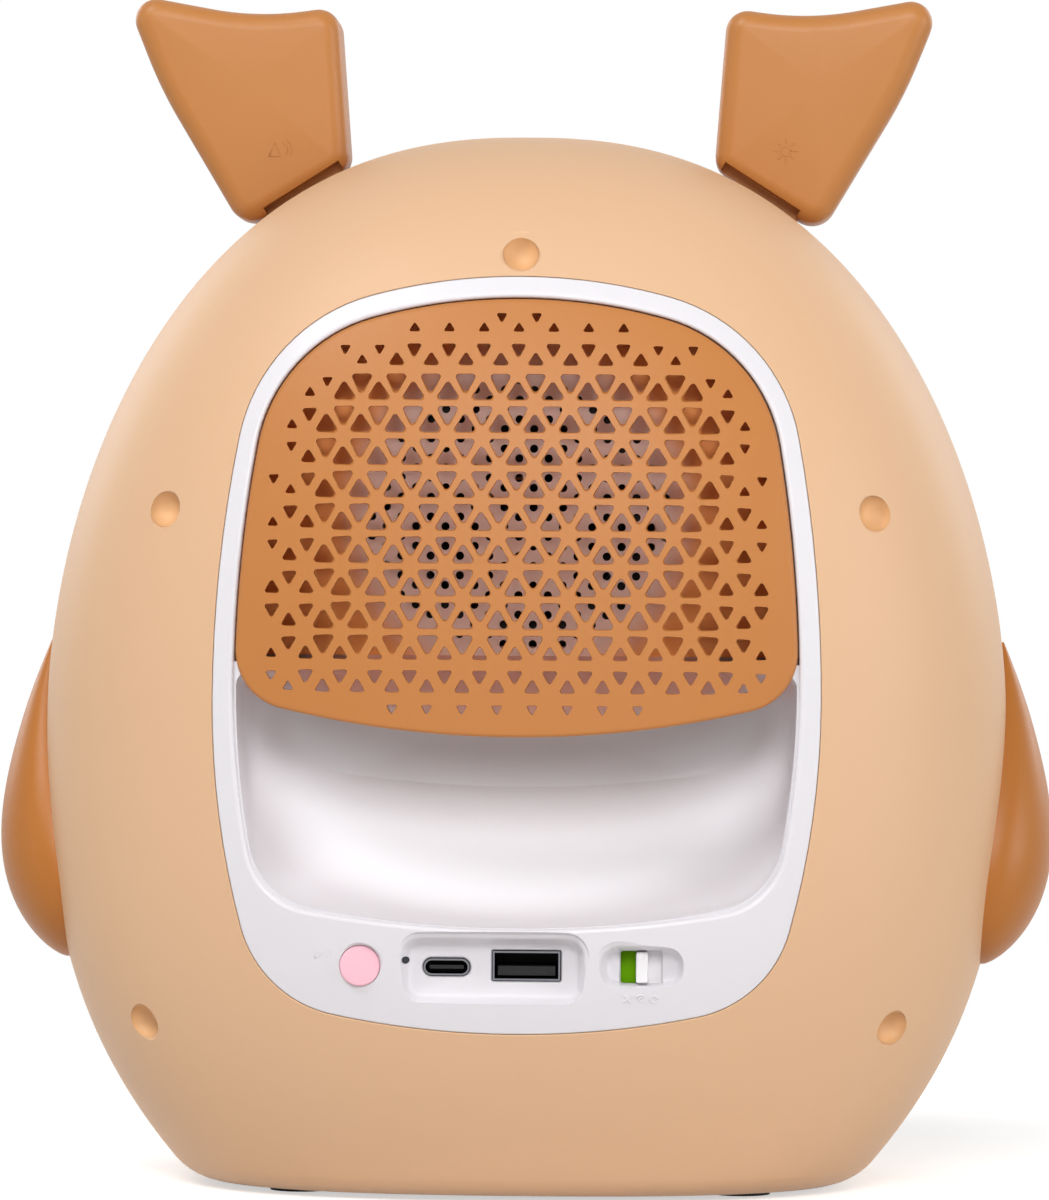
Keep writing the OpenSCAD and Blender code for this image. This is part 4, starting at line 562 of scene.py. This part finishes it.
# ---------------------------------------------------------------- surfaces of the body
def half_body(name, depth, d, rows_up, rows_down, cols, seam=0.0):
    """One side of the body, d below its surface and closed at the seam."""
    low = BASE + d
    t0 = math.degrees(math.asin((WAIST - low - BASE_R) / (REACH - d)))
    zs = [low + BASE_R * (1 - math.cos(math.radians(15 * k))) for k in range(6)]
    zs += [WAIST - (REACH - d) * math.sin(math.radians(t0 * (1 - k / rows_down)))
           for k in range(rows_down)]
    zs += [WAIST + (BODY_TOP - d - WAIST) * math.sin(math.radians(90 * k / rows_up))
           for k in range(rows_up)]
    angles = [180 * k / cols for k in range(cols + 1)]
    if seam:
        angles = [0, SEAM_TURN] + angles[1:-1] + [180 - SEAM_TURN, 180]
    verts, n, m = [], len(angles), len(zs)
    for z in zs:
        w, y = float(half_w(z, d)), side_of(depth) * float(half_d(z, depth, d))
        for i, a in enumerate(angles):
            c = math.cos(math.radians(a))
            if i in (0, n - 1):
                verts.append((-c * (w - seam), 0, z))
            else:
                verts.append((-c * w, y * float(curve(c, PLAN_P)), z))
    verts.append((0, 0, BODY_TOP - d))
    faces = [(i * n + k, (i + 1) * n + k, (i + 1) * n + k + 1, i * n + k + 1)
             for i in range(m - 1) for k in range(n - 1)]
    faces += [((m - 1) * n + k, len(verts) - 1, (m - 1) * n + k + 1) for k in range(n - 1)]
    faces.append(tuple(range(n)))
    faces.append((*(i * n + n - 1 for i in range(m)), len(verts) - 1,
                  *(i * n for i in range(m - 1, -1, -1))))
    return make(name, verts, faces)


def surface_ring(line, drop, depth):
    return [(p[0], side_of(depth) * (float(depth_at(p[0], p[1], depth)) - drop), p[1])
            for p in line]


def round_rings(line, r, depth, n=5):
    """Rings down a quarter round, from outside the outline or, where r < 0, from inside."""
    rings = []
    for a in np.radians([90 * k / n for k in range(n + 1)]):
        rings.append(surface_ring(inset_line(line, -r * (1 - math.sin(a))),
                                  abs(r) * (1 - math.cos(a)), depth))
    return rings


def edge_cutter(name, line, r, depth):
    """Cuts a hole of this outline through the surface and rounds its edge by r."""
    wide = inset_line(line, -r - CUT_WIDE)
    rings = [[(p[0], side_of(depth) * (depth + CUT_DEPTH), p[1]) for p in wide],
             surface_ring(wide, -CUT_WIDE, depth)]
    rings += round_rings(line, r, depth)
    rings.append([(p[0], side_of(depth) * CUT_DEPTH, p[1]) for p in line])
    return loft(name, rings)


def rim_cutter(name, line, r):
    """Only the rounding of an edge, as a shallow cut that stays near the surface."""
    wide, low = inset_line(line, -r - CUT_WIDE), inset_line(line, 1.0)
    c, drop = np.array(MOUTH_MIDDLE), r + 0.02
    rings = [surface_ring(wide, -CUT_OUT, REAR), surface_ring(wide, -CUT_WIDE, REAR)]
    rings += round_rings(line, r, REAR, 6)
    rings += [surface_ring(c + s * (low - c), drop, REAR) for s in (1, 0.5)]
    y = float(depth_at(*c, REAR))
    return loft(name, rings, first=(0, -y - CUT_OUT, c[1]), last=(0, -y + r, c[1]))


def slab(name, line, middle, r, thick, depth, rows=26):
    """Plate under the body's surface, its outer edge rounded by r."""
    c = np.array(middle)
    inner = inset_line(line, r)
    rings = [surface_ring(c + s * (inner - c), 0, depth) for s in np.linspace(1 / rows, 1, rows)]
    rings += round_rings(line, -r, depth)[1:]
    rings.append(surface_ring(line, thick, depth))
    rings += [surface_ring(c + s * (line - c), thick, depth)
              for s in np.linspace(1, 1 / rows, rows)[1:]]
    sign, top = side_of(depth), float(depth_at(*c, depth))
    return loft(name, rings, first=(c[0], sign * top, c[1]),
                last=(c[0], sign * (top - thick), c[1]))


# ---------------------------------------------------------------- shells and screw plugs
def plug_matrix(x, z, yaw, pitch):
    p = Vector((x, -float(depth_at(abs(x), z, REAR)), z)) * 0.001
    turn = (Matrix.Rotation(math.radians(yaw), 4, "Z")
            @ Matrix.Rotation(math.radians(90 - pitch), 4, "X"))
    return Matrix.Translation(p) @ turn


def shell(name, depth, opening, edge, screws=()):
    """Hollow side of the body with its opening, screw holes and recesses for its feet."""
    obj = half_body(name, depth, 0.0, *SHELL_MESH, seam=SEAM)
    combine(obj, half_body("in", depth, WALL, *LINING_MESH))
    for place in screws:
        combine(obj, turned("boss", BOSS, plug_matrix(*place)), "UNION")
    combine(obj, edge_cutter("hole", opening, edge, depth))
    for place in screws:
        combine(obj, turned("dimple", DIMPLE, plug_matrix(*place)))
    for x, y in FEET:
        if y * side_of(depth) > 0:
            combine(obj, post("foot", x, y, FOOT_D, -3, BASE + FOOT_DEPTH))
    return obj


rear = shell("rear_shell_skin", REAR, pad(**grown(BEZEL, BEZEL_GAP)), 0.35, SCREWS)
dress(smooth(rear, 30, REAR), "housing", "cream_shell", "rear_shell")

bowl = [(PLUG_R - 0.03, -4.5)]
bowl += [(BOWL_R * math.sin(a), BOWL_RISE - BOWL_R * math.cos(a))
         for a in np.linspace(1.25, 0.03, 18)]
plugs = joined("screw_plugs_skin", [turned("plug", bowl, plug_matrix(*p)) for p in SCREWS])
dress(smooth(plugs), "housing", "cream_shell", "screw_plugs", look="plug_cream")

EAR_LEAN = math.atan((dome_z(EAR_X - 1) - dome_z(EAR_X + 1)) / 2)
EAR_FRAME = (Matrix.Translation(Vector((EAR_X, EAR_Y, dome_z(EAR_X))) * 0.001)
             @ Matrix.Rotation(EAR_LEAN, 4, "Y"))

front = shell("front_shell_skin", FRONT, pad(**FACE), 0.5)
slot_x = EAR_FOOT[0] + SLOT_GAP
slot_y = EAR_FOOT[1] - PIN_Z * math.sin(math.radians(EAR_TURN)) + SLOT_GAP
for side in (1, -1):
    cut = box("slot", (-slot_x, -slot_y, PIN_Z), (slot_x, slot_y, SLOT_TOP))
    cut.data.transform(EAR_FRAME)
    if side < 0:
        mirror(cut.data)
    combine(front, cut)
dress(smooth(front, 30, FRONT), "housing", "cream_shell", "front_shell")


# ---------------------------------------------------------------- handle tub
def pocket(name, p, z):
    """Pocket with sloping sides, a softened edge at the surface and at its floor."""
    x, w, h = p[0], p[1] - 2 * SLOPE, p[2] - 2 * SLOPE
    rise = 3 * SLOPE / 2 / POCKET_DEPTH
    surface = float(depth_at(0, z, REAR))
    rings = [(1.2, surface + POCKET_DEPTH)]
    rings += [(e * POCKET_SOFT, surface + y) for e, y in POCKET_TOP]
    rings += [(e, POCKET_Y + y) for e, y in POCKET_LOW]
    lines = []
    for e, y in rings:
        g = rise * (y - POCKET_Y) + e
        lines.append(rounded_ring(x, z, w + 2 * g, h + 2 * g,
                                  min(POCKET_R + g, h / 2 + g - 0.05), -y))
    return loft(name, lines)


def opening(name, x, z, w, h, r, steps):
    """Hole with round corners. The steps widen it by a growth at a height over its floor."""
    return loft(name, [rounded_ring(x, z, w + 2 * e, h + 2 * e, r + e, -POCKET_Y - y)
                       for e, y in steps])


def scoop_bottom(y):
    t = max(0.0, REAR - y) / (REAR + SCOOP_ROLL - RECESS_BACK)
    return SCOOP_TOP - (SCOOP_TOP - MOUTH_BOTTOM) * math.sqrt(max(0.0, 1 - t * t))


def scoop_in(y):
    t = max(0.0, RECESS_BACK + SCOOP_BACK_R - y)
    return (SCOOP_INSET + SCOOP_DRAFT * (SCOOP_FRONT - y)
            + SCOOP_BACK_R - math.sqrt(max(0.0, SCOOP_BACK_R ** 2 - t * t)))


def scoop_ring(y, w):
    line = pad(top=CEILING + w, top_r=CEILING_R, half=MOUTH_HALF - scoop_in(y) + w,
               mid=MOUTH_MID, side_r=BEZEL["side_r"], low_r=BEZEL["low_r"],
               bottom=scoop_bottom(y) - w, bottom_r=MOUTH_R, corner=SCOOP_CORNER + w,
               low_corner=MOUTH_CORNER + w)
    return [(p[0], w - y, p[1]) for p in line]


def scoop(name, w, steps=44):
    """Room of the hand recess, grown by w. Its floor rolls up into its ceiling."""
    a = np.linspace(0, 1, steps)
    ys = SCOOP_FRONT + (RECESS_BACK - SCOOP_FRONT) * np.sin(a * math.pi / 2)
    return loft(name, [scoop_ring(y, w) for y in ys])


bezel_line = pad(**BEZEL)
tub = slab("handle_tub_skin", bezel_line, BEZEL_MIDDLE, BEZEL_EDGE, TUB_WALL, REAR)

# Walls behind the bezel: recess, room behind the cover, pockets and button sleeve
outer = scoop("outer", TUB_WALL)
wall = prism("wall", mouth(-TUB_WALL), ROOM_FRONT, ROOM_BACK + TUB_WALL)
combine(wall, lower_part(CEILING - 7))
combine(outer, wall, "UNION")
for (x, w, h), z in ((PORT_POCKET, PORT_Z), (SWITCH_POCKET, CONTROL_Z)):
    block = [rounded_ring(x, z, w + POCKET_WALL + e, h + POCKET_WALL + e, BLOCK_R, y)
             for e, y in BLOCK_RINGS]
    combine(outer, loft("block", block), "UNION")
combine(outer, rod("sleeve", BUTTON_X, CONTROL_Z, BUTTON_D + 2 * SLEEVE_WALL,
                   SLEEVE_FRONT, SLEEVE_BACK), "UNION")
under = slab("under", inset_line(bezel_line, 0.6), BEZEL_MIDDLE, 0.2, 40.0, REAR)
combine(outer, under, "INTERSECT")
combine(tub, outer, "UNION")

# The mouth above the ceiling, the room behind the ledge, and the scoop below
upper = edge_cutter("mouth", mouth(0), MOUTH_EDGE, REAR)
combine(upper, box("deep", (-FAR, ROOM_BACK, -1), (FAR, NEAR, 2 * FAR)))
combine(upper, lower_part(CEILING - 1))
ledge = prism("ledge", mouth(LEDGE), -80, 5)
combine(ledge, lower_part(CEILING + TUB_WALL))
for cut in (upper, ledge, scoop("low", 0.0), rim_cutter("rim", mouth(0), MOUTH_EDGE),
            pocket("port", PORT_POCKET, PORT_Z - PORT_DROP),
            pocket("switch", SWITCH_POCKET, CONTROL_Z)):
    combine(tub, cut)

button_y = float(depth_at(BUTTON_X, CONTROL_Z, REAR))
button_r = BUTTON_D / 2 + BUTTON_GAP
turn = (Matrix.Translation(Vector((BUTTON_X, 0, CONTROL_Z)) * 0.001)
        @ Matrix.Rotation(math.pi / 2, 4, "X"))
well = [(button_r, 20)]
well += [(button_r + e, button_y + y)
         for e, y in ((0, -0.25), (0.04, -0.1), (0.15, 0), (0.5, 0.4))]
combine(tub, turned("button", well + [(button_r + 0.5, 90)], turn))
combine(tub, rod("light", LIGHT_X, LIGHT_Z, LIGHT_D + 0.2, -90, -50, 32))
for name, x, z, w, h, r, steps in (
        ("usb_c", USB_C[0], USB_C_Z, USB_C[1] + SOCKET_GAP, USB_C[2] + SOCKET_GAP,
         (USB_C[2] + SOCKET_GAP) / 2 - 0.02, ((0.5, 2), (0.35, 0.01), (0.1, -0.2), (0, -0.5))),
        ("usb_a", USB_A[0], USB_A_Z, USB_A[1] + SOCKET_GAP, USB_A[2] + SOCKET_GAP,
         0.3, ((0.5, 2), (0.3, 0.01), (0.1, -0.2), (0, -0.5))),
        ("window", WINDOW_X, CONTROL_Z, *WINDOW,
         0.5, ((0.6, 2), (0.3, 0.01), (0.05, -0.3), (0, -0.6)))):
    combine(tub, opening(name, x, z, w, h, r, (*steps, (0, -14))))
dress(smooth(tub, 32, REAR), "housing", "warm_white", "handle_tub")


# ---------------------------------------------------------------- speaker cover
def hole_line(size, up, n=5):
    """Rounded triangle, clockwise."""
    r = size * 0.17
    pts = []
    for k in range(3):
        a = math.radians((90 if up else -90) - 120 * k)
        c = np.array([math.cos(a), math.sin(a)]) * (size * 1.2 * 0.62 - 2 * r)
        for j in range(n + 1):
            b = a + math.radians(60 - 120 * j / n)
            pts.append(c + r * np.array([math.cos(b), math.sin(b)]))
    return np.array(pts)


def holes():
    """Place, size and direction of each triangle within the margin of the cover."""
    for r, last in enumerate(ROW_LAST):
        for k in range(-last, last + 1):
            up = (r + abs(k)) % 2 == 0
            # The first row has only its middle downward ones, the last row no upward ones
            if (r == 0 and not (up or abs(k) == 1)) or (r == len(ROW_LAST) - 1 and up):
                continue
            if abs(k) <= ROW_LARGE[r] and (r != 10 or not up):
                size = 0
            else:
                size = 1 if abs(k) <= ROW_MIDDLE[r] else 2
            x = k * HOLE_PITCH / 2
            z = HOLE_TOP - r * HOLE_ROW + (-HOLE_SHIFT if up else HOLE_SHIFT)
            side = COVER["half"] - (z - MOUTH_MID) ** 2 / (2 * BEZEL["side_r"])
            top = BEZEL["top"] - RIM - x * x / (2 * (BEZEL["top_r"] - RIM))
            bottom = LIP_Z + x * x / (2 * LIP_R)
            if abs(x) < side - HOLE_MARGIN and bottom + HOLE_MARGIN < z < top - HOLE_MARGIN:
                yield x, z, HOLE_SIZES[size], up


def cover_cutters():
    parts = []
    for x, z, size, up in holes():
        line = hole_line(size, up)
        y = float(depth_at(x, z, REAR))
        parts.append(loft("h", [[(x + p[0] * s, -(y + rise), z + p[1] * s) for p in line]
                                for s, rise in HOLE_RINGS]))
    return joined("holes", parts)


cover = slab("grille_cover_skin", pad(**COVER), COVER_MIDDLE, COVER_EDGE, COVER_T, REAR, rows=34)
combine(cover, cover_cutters())
dress(smooth(cover, 34, REAR), "housing", "caramel_cover", "grille_cover")


# ---------------------------------------------------------------- ears
def corner_arc(c, i, d, n):
    """Arc of the corner i of an outline that lies d inside the one through the corners."""
    p, a, b = (np.array(c[j % len(c)][:2]) for j in (i, i - 1, i + 1))
    u, w = (p - a) / np.linalg.norm(p - a), (b - p) / np.linalg.norm(b - p)
    nu, nw = np.array([u[1], -u[0]]), np.array([w[1], -w[0]])
    q = p + d * (nu + nw) / (1 + nu @ nw)
    side = 1 if u[0] * w[1] - u[1] * w[0] < 0 else -1
    r = c[i][2] - side * d
    sweep = math.acos(max(-1, min(1, u @ w)))
    centre = q - u * r * math.tan(sweep / 2) + side * nu * r
    start = math.atan2(*(-side * nu)[::-1])
    angles = [start - side * sweep * k / n for k in range(n + 1)]
    return [centre + r * np.array([math.cos(t), math.sin(t)]) for t in angles]


def ear_line(d):
    return [p for i in range(len(EAR_CORNERS)) for p in corner_arc(EAR_CORNERS, i, d, 12)]


def ear_piece(name):
    """Ear with rounded edges, an undercut on both sides, and its foot, blade and bore."""
    rings = []
    for k in range(9):
        a = math.radians(90 * k / 8)
        y = EAR_ROUND * (1 - math.cos(a)) - EAR_T / 2
        rings.append([(p[0], y, p[1]) for p in ear_line(EAR_ROUND * (1 - math.sin(a)))])
    rings += [[(x, -y, z) for x, y, z in r] for r in rings[::-1]]
    ear = loft(name, rings)
    left_x, right_x, top = UNDERCUT
    for y0, y1 in ((-EAR_T, -EAR_FOOT[1]), (EAR_FOOT[1], EAR_T)):
        combine(ear, box("cut", (left_x, y0, -5), (right_x, y1, top)))
    for x, y, z0, z1 in (EAR_FOOT, EAR_BLADE):
        combine(ear, box("stem", (-x, -y, z0), (x, y, z1)), "UNION")
    bore = [[(x, PIN_R * math.cos(t), PIN_Z + PIN_R * math.sin(t)) for t in turns(40)]
            for x in (-PIN_REACH, PIN_REACH)]
    combine(ear, loft("bore", bore))
    ear.data.transform(EAR_FRAME)
    return ear


right_ear = ear_piece("right_ear_skin")
left_ear = mirrored("left_ear_skin", right_ear)
dress(smooth(right_ear, 34), "right_ear", "ear_brown", "right_ear")
dress(smooth(left_ear, 34), "left_ear", "ear_brown", "left_ear")


# ---------------------------------------------------------------- paws
def paw_ring(u, n=40):
    """Ring at the share u of the paw's height, the outer side first."""
    z = PAW_BOTTOM + (PAW_TOP - PAW_BOTTOM) * u
    s, c = math.sin(math.pi * u ** PAW_EGG), PAW_Y + PAW_SLANT * (u - 0.5)
    across = [math.sin(math.radians(-90 + 180 * k / n)) for k in range(n + 1)]
    ys = [c + PAW_HALF * s * a for a in across]
    base = [(float(width_at(y, z)) - PAW_SINK, y, z) for y in ys]
    outside = [(x + PAW_LIFT + PAW_BULGE * s * float(curve(a, PAW_P)), y, z)
               for a, (x, y, z) in zip(across, base)]
    return outside + base[-2:0:-1]


right_arm = loft("right_arm_skin",
                 [paw_ring((1 - math.cos(a)) / 2) for a in np.linspace(*PAW_ENDS, 44)])
left_arm = mirrored("left_arm_skin", right_arm)
dress(smooth(right_arm, 40), "housing", "paw_brown", "right_arm")
dress(smooth(left_arm, 40), "housing", "paw_brown", "left_arm")


# ---------------------------------------------------------------- button and switch
def rounded_block(name, x0, x1, z0, z1, y_out, y_in, r, e=0.25, n=6):
    """Block along Y with round corners and a rounded outer edge."""
    x, z, w, h = (x0 + x1) / 2, (z0 + z1) / 2, x1 - x0, z1 - z0
    rings = []
    for a in np.linspace(0, math.pi / 2, n):
        inset = e * (1 - math.sin(a))
        rings.append(rounded_ring(x, z, w - 2 * inset, h - 2 * inset, max(0.05, r - inset),
                                  y_out + e * (1 - math.cos(a))))
    return loft(name, rings + [rounded_ring(x, z, w, h, r, y_in)])


def node_box(node):
    return [np.array(v) * 1000 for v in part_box(node)]


half = BUTTON_D / 2
lo = node_box("play_button")[0]
button = rounded_block("play_button_skin", BUTTON_X - half, BUTTON_X + half, CONTROL_Z - half,
                       CONTROL_Z + half, lo[1], lo[1] + 6, half - 0.01, BUTTON_EDGE)
dress(smooth(button, 40), "play_button", "pink_button", "play_button")

lo, hi = node_box("switch_flag")
flag = rounded_block("switch_flag_skin", lo[0], SWITCH_X - KNOB[0] / 2 + 0.1, lo[2], hi[2],
                     lo[1], hi[1], 0.1, 0.05, 3)
dress(smooth(flag), "mode_switch", "green_flag", "switch_flag")

lo, hi = node_box("switch_slider")
slider = rounded_block("switch_slider_skin", SWITCH_X - KNOB[0] / 2, SWITCH_X + KNOB[0] / 2,
                       CONTROL_Z - KNOB[1] / 2, CONTROL_Z + KNOB[1] / 2, lo[1], KNOB_FOOT,
                       0.45, 0.35)
combine(slider, rounded_block("skirt", SWITCH_X, hi[0], lo[2], hi[2], *SKIRT, 0.1, 0.05, 3),
        "UNION")
dress(smooth(slider), "mode_switch", "switch_white", "switch_slider")

# ---------------------------------------------------------------- face panel
face = slab("face_panel_skin", pad(**grown(FACE, -FACE_GAP)), FACE_MIDDLE, FACE_EDGE, FACE_T,
            FRONT, rows=24)
dress(smooth(face, 34, FRONT), "housing", "panel_milk", "face_panel")


# ---------------------------------------------------------------- raised marks
def ridge(path, width, high, at):
    """Low raised line along a path in X and Z, on a surface that lies at y = -at(x, z)."""
    pts = np.array(path, float)
    t = np.gradient(pts, axis=0)
    if np.allclose(pts[0], pts[-1]):
        t[0] = t[-1] = pts[1] - pts[-2]
    t /= np.linalg.norm(t, axis=1)[:, None]
    n = np.column_stack([-t[:, 1], t[:, 0]]) * width / 2
    rings = []
    for (x, z), (nx, nz) in zip(pts, n):
        y = -float(at(x, z))
        rings.append([(x + nx, y + 0.1, z + nz), (x + nx * 0.5, y - high, z + nz * 0.5),
                      (x - nx * 0.5, y - high, z - nz * 0.5), (x - nx, y + 0.1, z - nz)])
    return loft("line", rings)


def circle(x, z, r, a0=0, a1=360, n=24):
    return [(x + r * math.cos(a), z + r * math.sin(a))
            for a in np.radians(np.linspace(a0, a1, n + 1))]


def on_panel(x, z):
    return depth_at(abs(x), z, REAR)


def on_ear(*place):
    return EAR_T / 2 - EAR_Y


def mark(name, body, slot, lines, at, size):
    obj = joined(name, [ridge(line, *size, at) for line in lines])
    dress(smooth(obj), body, slot)


x, z = EAR_MARK_X, EAR_MARK_Z
rays = [[(x + r * math.cos(a), z + r * math.sin(a)) for r in (1.5, 2.4)]
        for a in np.arange(8) * math.pi / 4]
mark("light_mark", "right_ear", "ear_brown", [circle(x, z, 0.95)] + rays, on_ear, EAR_LINE)
horn = [(-53.8, 208.8), (-52.6, 211.6), (-51.4, 208.8), (-53.8, 208.8)]
waves = [circle(-52.0, 210.2, 1.9, -30, 50, 8), circle(-52.0, 210.2, 2.8, -25, 45, 8)]
mark("sound_mark", "left_ear", "ear_brown", [horn] + waves, on_ear, EAR_LINE)

SWITCH_MARKS = ((22.05, ([(-0.7, -0.7), (0.7, 0.7)], [(-0.7, 0.7), (0.7, -0.7)])),
                (24.57, (circle(0, 0, 0.3, n=12), circle(0, 0, 0.8, 20, 160, 12))),
                (27.1, (circle(0, 0, 0.65, n=18),)))
for k, (x, shapes) in enumerate(SWITCH_MARKS):
    lines = [[(x + a, SWITCH_MARK_Z + b) for a, b in line] for line in shapes]
    mark("switch_mark_%d" % k, "housing", "warm_white", lines, on_panel, SWITCH_LINE)
mark("play_mark", "housing", "warm_white",
     ([(-38.6, 48.6), (-38.6, 50.4), (-37.2, 49.5), (-38.6, 48.6)],
      [(-36.4, 48.7), (-36.4, 50.3)], [(-35.5, 48.7), (-35.5, 50.3)]), on_panel, PLAY_LINE)

# ---------------------------------------------------------------- stage, light and camera
WHITE = (1, 1, 1, 1)
# Light of the world, the floor's white and glow near the object, and its white for the
# rays that only carry light
WORLD_LIGHT, FLOOR_WHITE, FLOOR_GLOW, FLOOR_BOUNCE = 0.15, 0.85, 0.55, 0.74
# Half size of the floor, and the distances, in metres, where it fades to plain white
FLOOR_HALF, FADE_FROM, FADE_TO = 6, 0.16, 0.45


def seen(tree):
    """1 for rays from the camera and for those that metal and glass mirror or pass on."""
    path = tree.nodes.new("ShaderNodeLightPath")
    last = path.outputs["Is Camera Ray"]
    for name in ("Is Glossy Ray", "Is Transmission Ray"):
        most = tree.nodes.new("ShaderNodeMath")
        most.operation = "MAXIMUM"
        tree.links.new(last, most.inputs[0])
        tree.links.new(path.outputs[name], most.inputs[1])
        last = most.outputs[0]
    return last


def mixed(tree, factor, a, b):
    mix = tree.nodes.new("ShaderNodeMixShader")
    for socket, value in zip(mix.inputs, (factor, a.outputs[0], b.outputs[0])):
        tree.links.new(value, socket)
    return mix


world = bpy.data.worlds.new("studio")
bpy.context.scene.world = world
world.use_nodes = True
t = world.node_tree
t.nodes.clear()
studio = mixed(t, seen(t), add(t, "ShaderNodeBackground", Color=WHITE, Strength=WORLD_LIGHT),
               add(t, "ShaderNodeBackground", Color=WHITE, Strength=1.0))
t.links.new(studio.outputs[0], t.nodes.new("ShaderNodeOutputWorld").inputs[0])

# The floor keeps the object's shadow, and is plain white further out
floor_mesh = bpy.data.meshes.new("floor")
floor_mesh.from_pydata([(x * FLOOR_HALF, y * FLOOR_HALF, 0)
                        for x, y in ((-1, -1), (1, -1), (1, 1), (-1, 1))], [], [(0, 1, 2, 3)])
floor = link("floor", floor_mesh)
floor_white = bpy.data.materials.new("floor_white")
floor_white.use_nodes = True
t = floor_white.node_tree
t.nodes.clear()
near = t.nodes.new("ShaderNodeAddShader")
for k, shader in enumerate((add(t, "ShaderNodeBsdfDiffuse", Color=(*[FLOOR_WHITE] * 3, 1)),
                            add(t, "ShaderNodeEmission", Color=WHITE, Strength=FLOOR_GLOW))):
    t.links.new(shader.outputs[0], near.inputs[k])
radius = t.nodes.new("ShaderNodeVectorMath")
radius.operation = "LENGTH"
t.links.new(t.nodes.new("ShaderNodeTexCoord").outputs["Object"], radius.inputs[0])
fade = add(t, "ShaderNodeMapRange", **{"From Min": FADE_FROM, "From Max": FADE_TO})
fade.interpolation_type = "SMOOTHSTEP"
t.links.new(radius.outputs["Value"], fade.inputs["Value"])
visible = mixed(t, fade.outputs[0], near,
                add(t, "ShaderNodeEmission", Color=WHITE, Strength=1.0))
bounce = add(t, "ShaderNodeBsdfDiffuse", Color=(*[FLOOR_BOUNCE] * 3, 1))
whole = mixed(t, seen(t), bounce, visible)
t.links.new(whole.outputs[0], t.nodes.new("ShaderNodeOutputMaterial").inputs[0])
floor_mesh.materials.append(floor_white)

# Place, height of the target, size and power of each lamp
for name, place, aim, size, power in (
        ("key", (-0.7, -0.8, 1.35), 0.12, 0.7, 12),
        ("front", (0.1, -1.9, 1.05), 0.11, 0.8, 21.5),
        ("left", (-1.4, -0.6, 0.3), 0.1, 0.9, 1.5),
        ("right", (1.4, -0.6, 0.3), 0.1, 0.9, 9),
        ("back_left", (-1.1, 1.2, 0.7), 0.1, 0.9, 5),
        ("back_right", (1.1, 1.2, 0.7), 0.1, 0.9, 5)):
    data = bpy.data.lights.new(name, "AREA")
    data.shape, data.size, data.energy = "DISK", size, power
    lamp = link(name, data)
    lamp.location = place
    toward = Vector((0, 0, aim)) - Vector(place)
    lamp.rotation_euler = toward.to_track_quat("-Z", "Y").to_euler()

# Camera fitted to the photograph: place, aim and roll, and its focal length in pixels
CAMERA, AIM, ROLL = (0.0445, -1.264, 0.1183), (-0.00075, 0, 0.1183), 0.39
SENSOR, FOCAL, PHOTO_WIDTH = 36, 6196, 1049
cam_data = bpy.data.cameras.new("camera")
camera = link("camera", cam_data)
camera.location = CAMERA
look = (Vector(AIM) - camera.location).to_track_quat("-Z", "Y")
roll = Matrix.Rotation(math.radians(ROLL), 3, "Z").to_quaternion()
camera.rotation_euler = (look @ roll).to_euler()
cam_data.sensor_fit = "HORIZONTAL"
cam_data.sensor_width = SENSOR
cam_data.lens = SENSOR * FOCAL / PHOTO_WIDTH
cam_data.clip_start, cam_data.clip_end = 0.05, 30
bpy.context.scene.camera = camera
bpy.context.scene.view_settings.view_transform = "Standard"
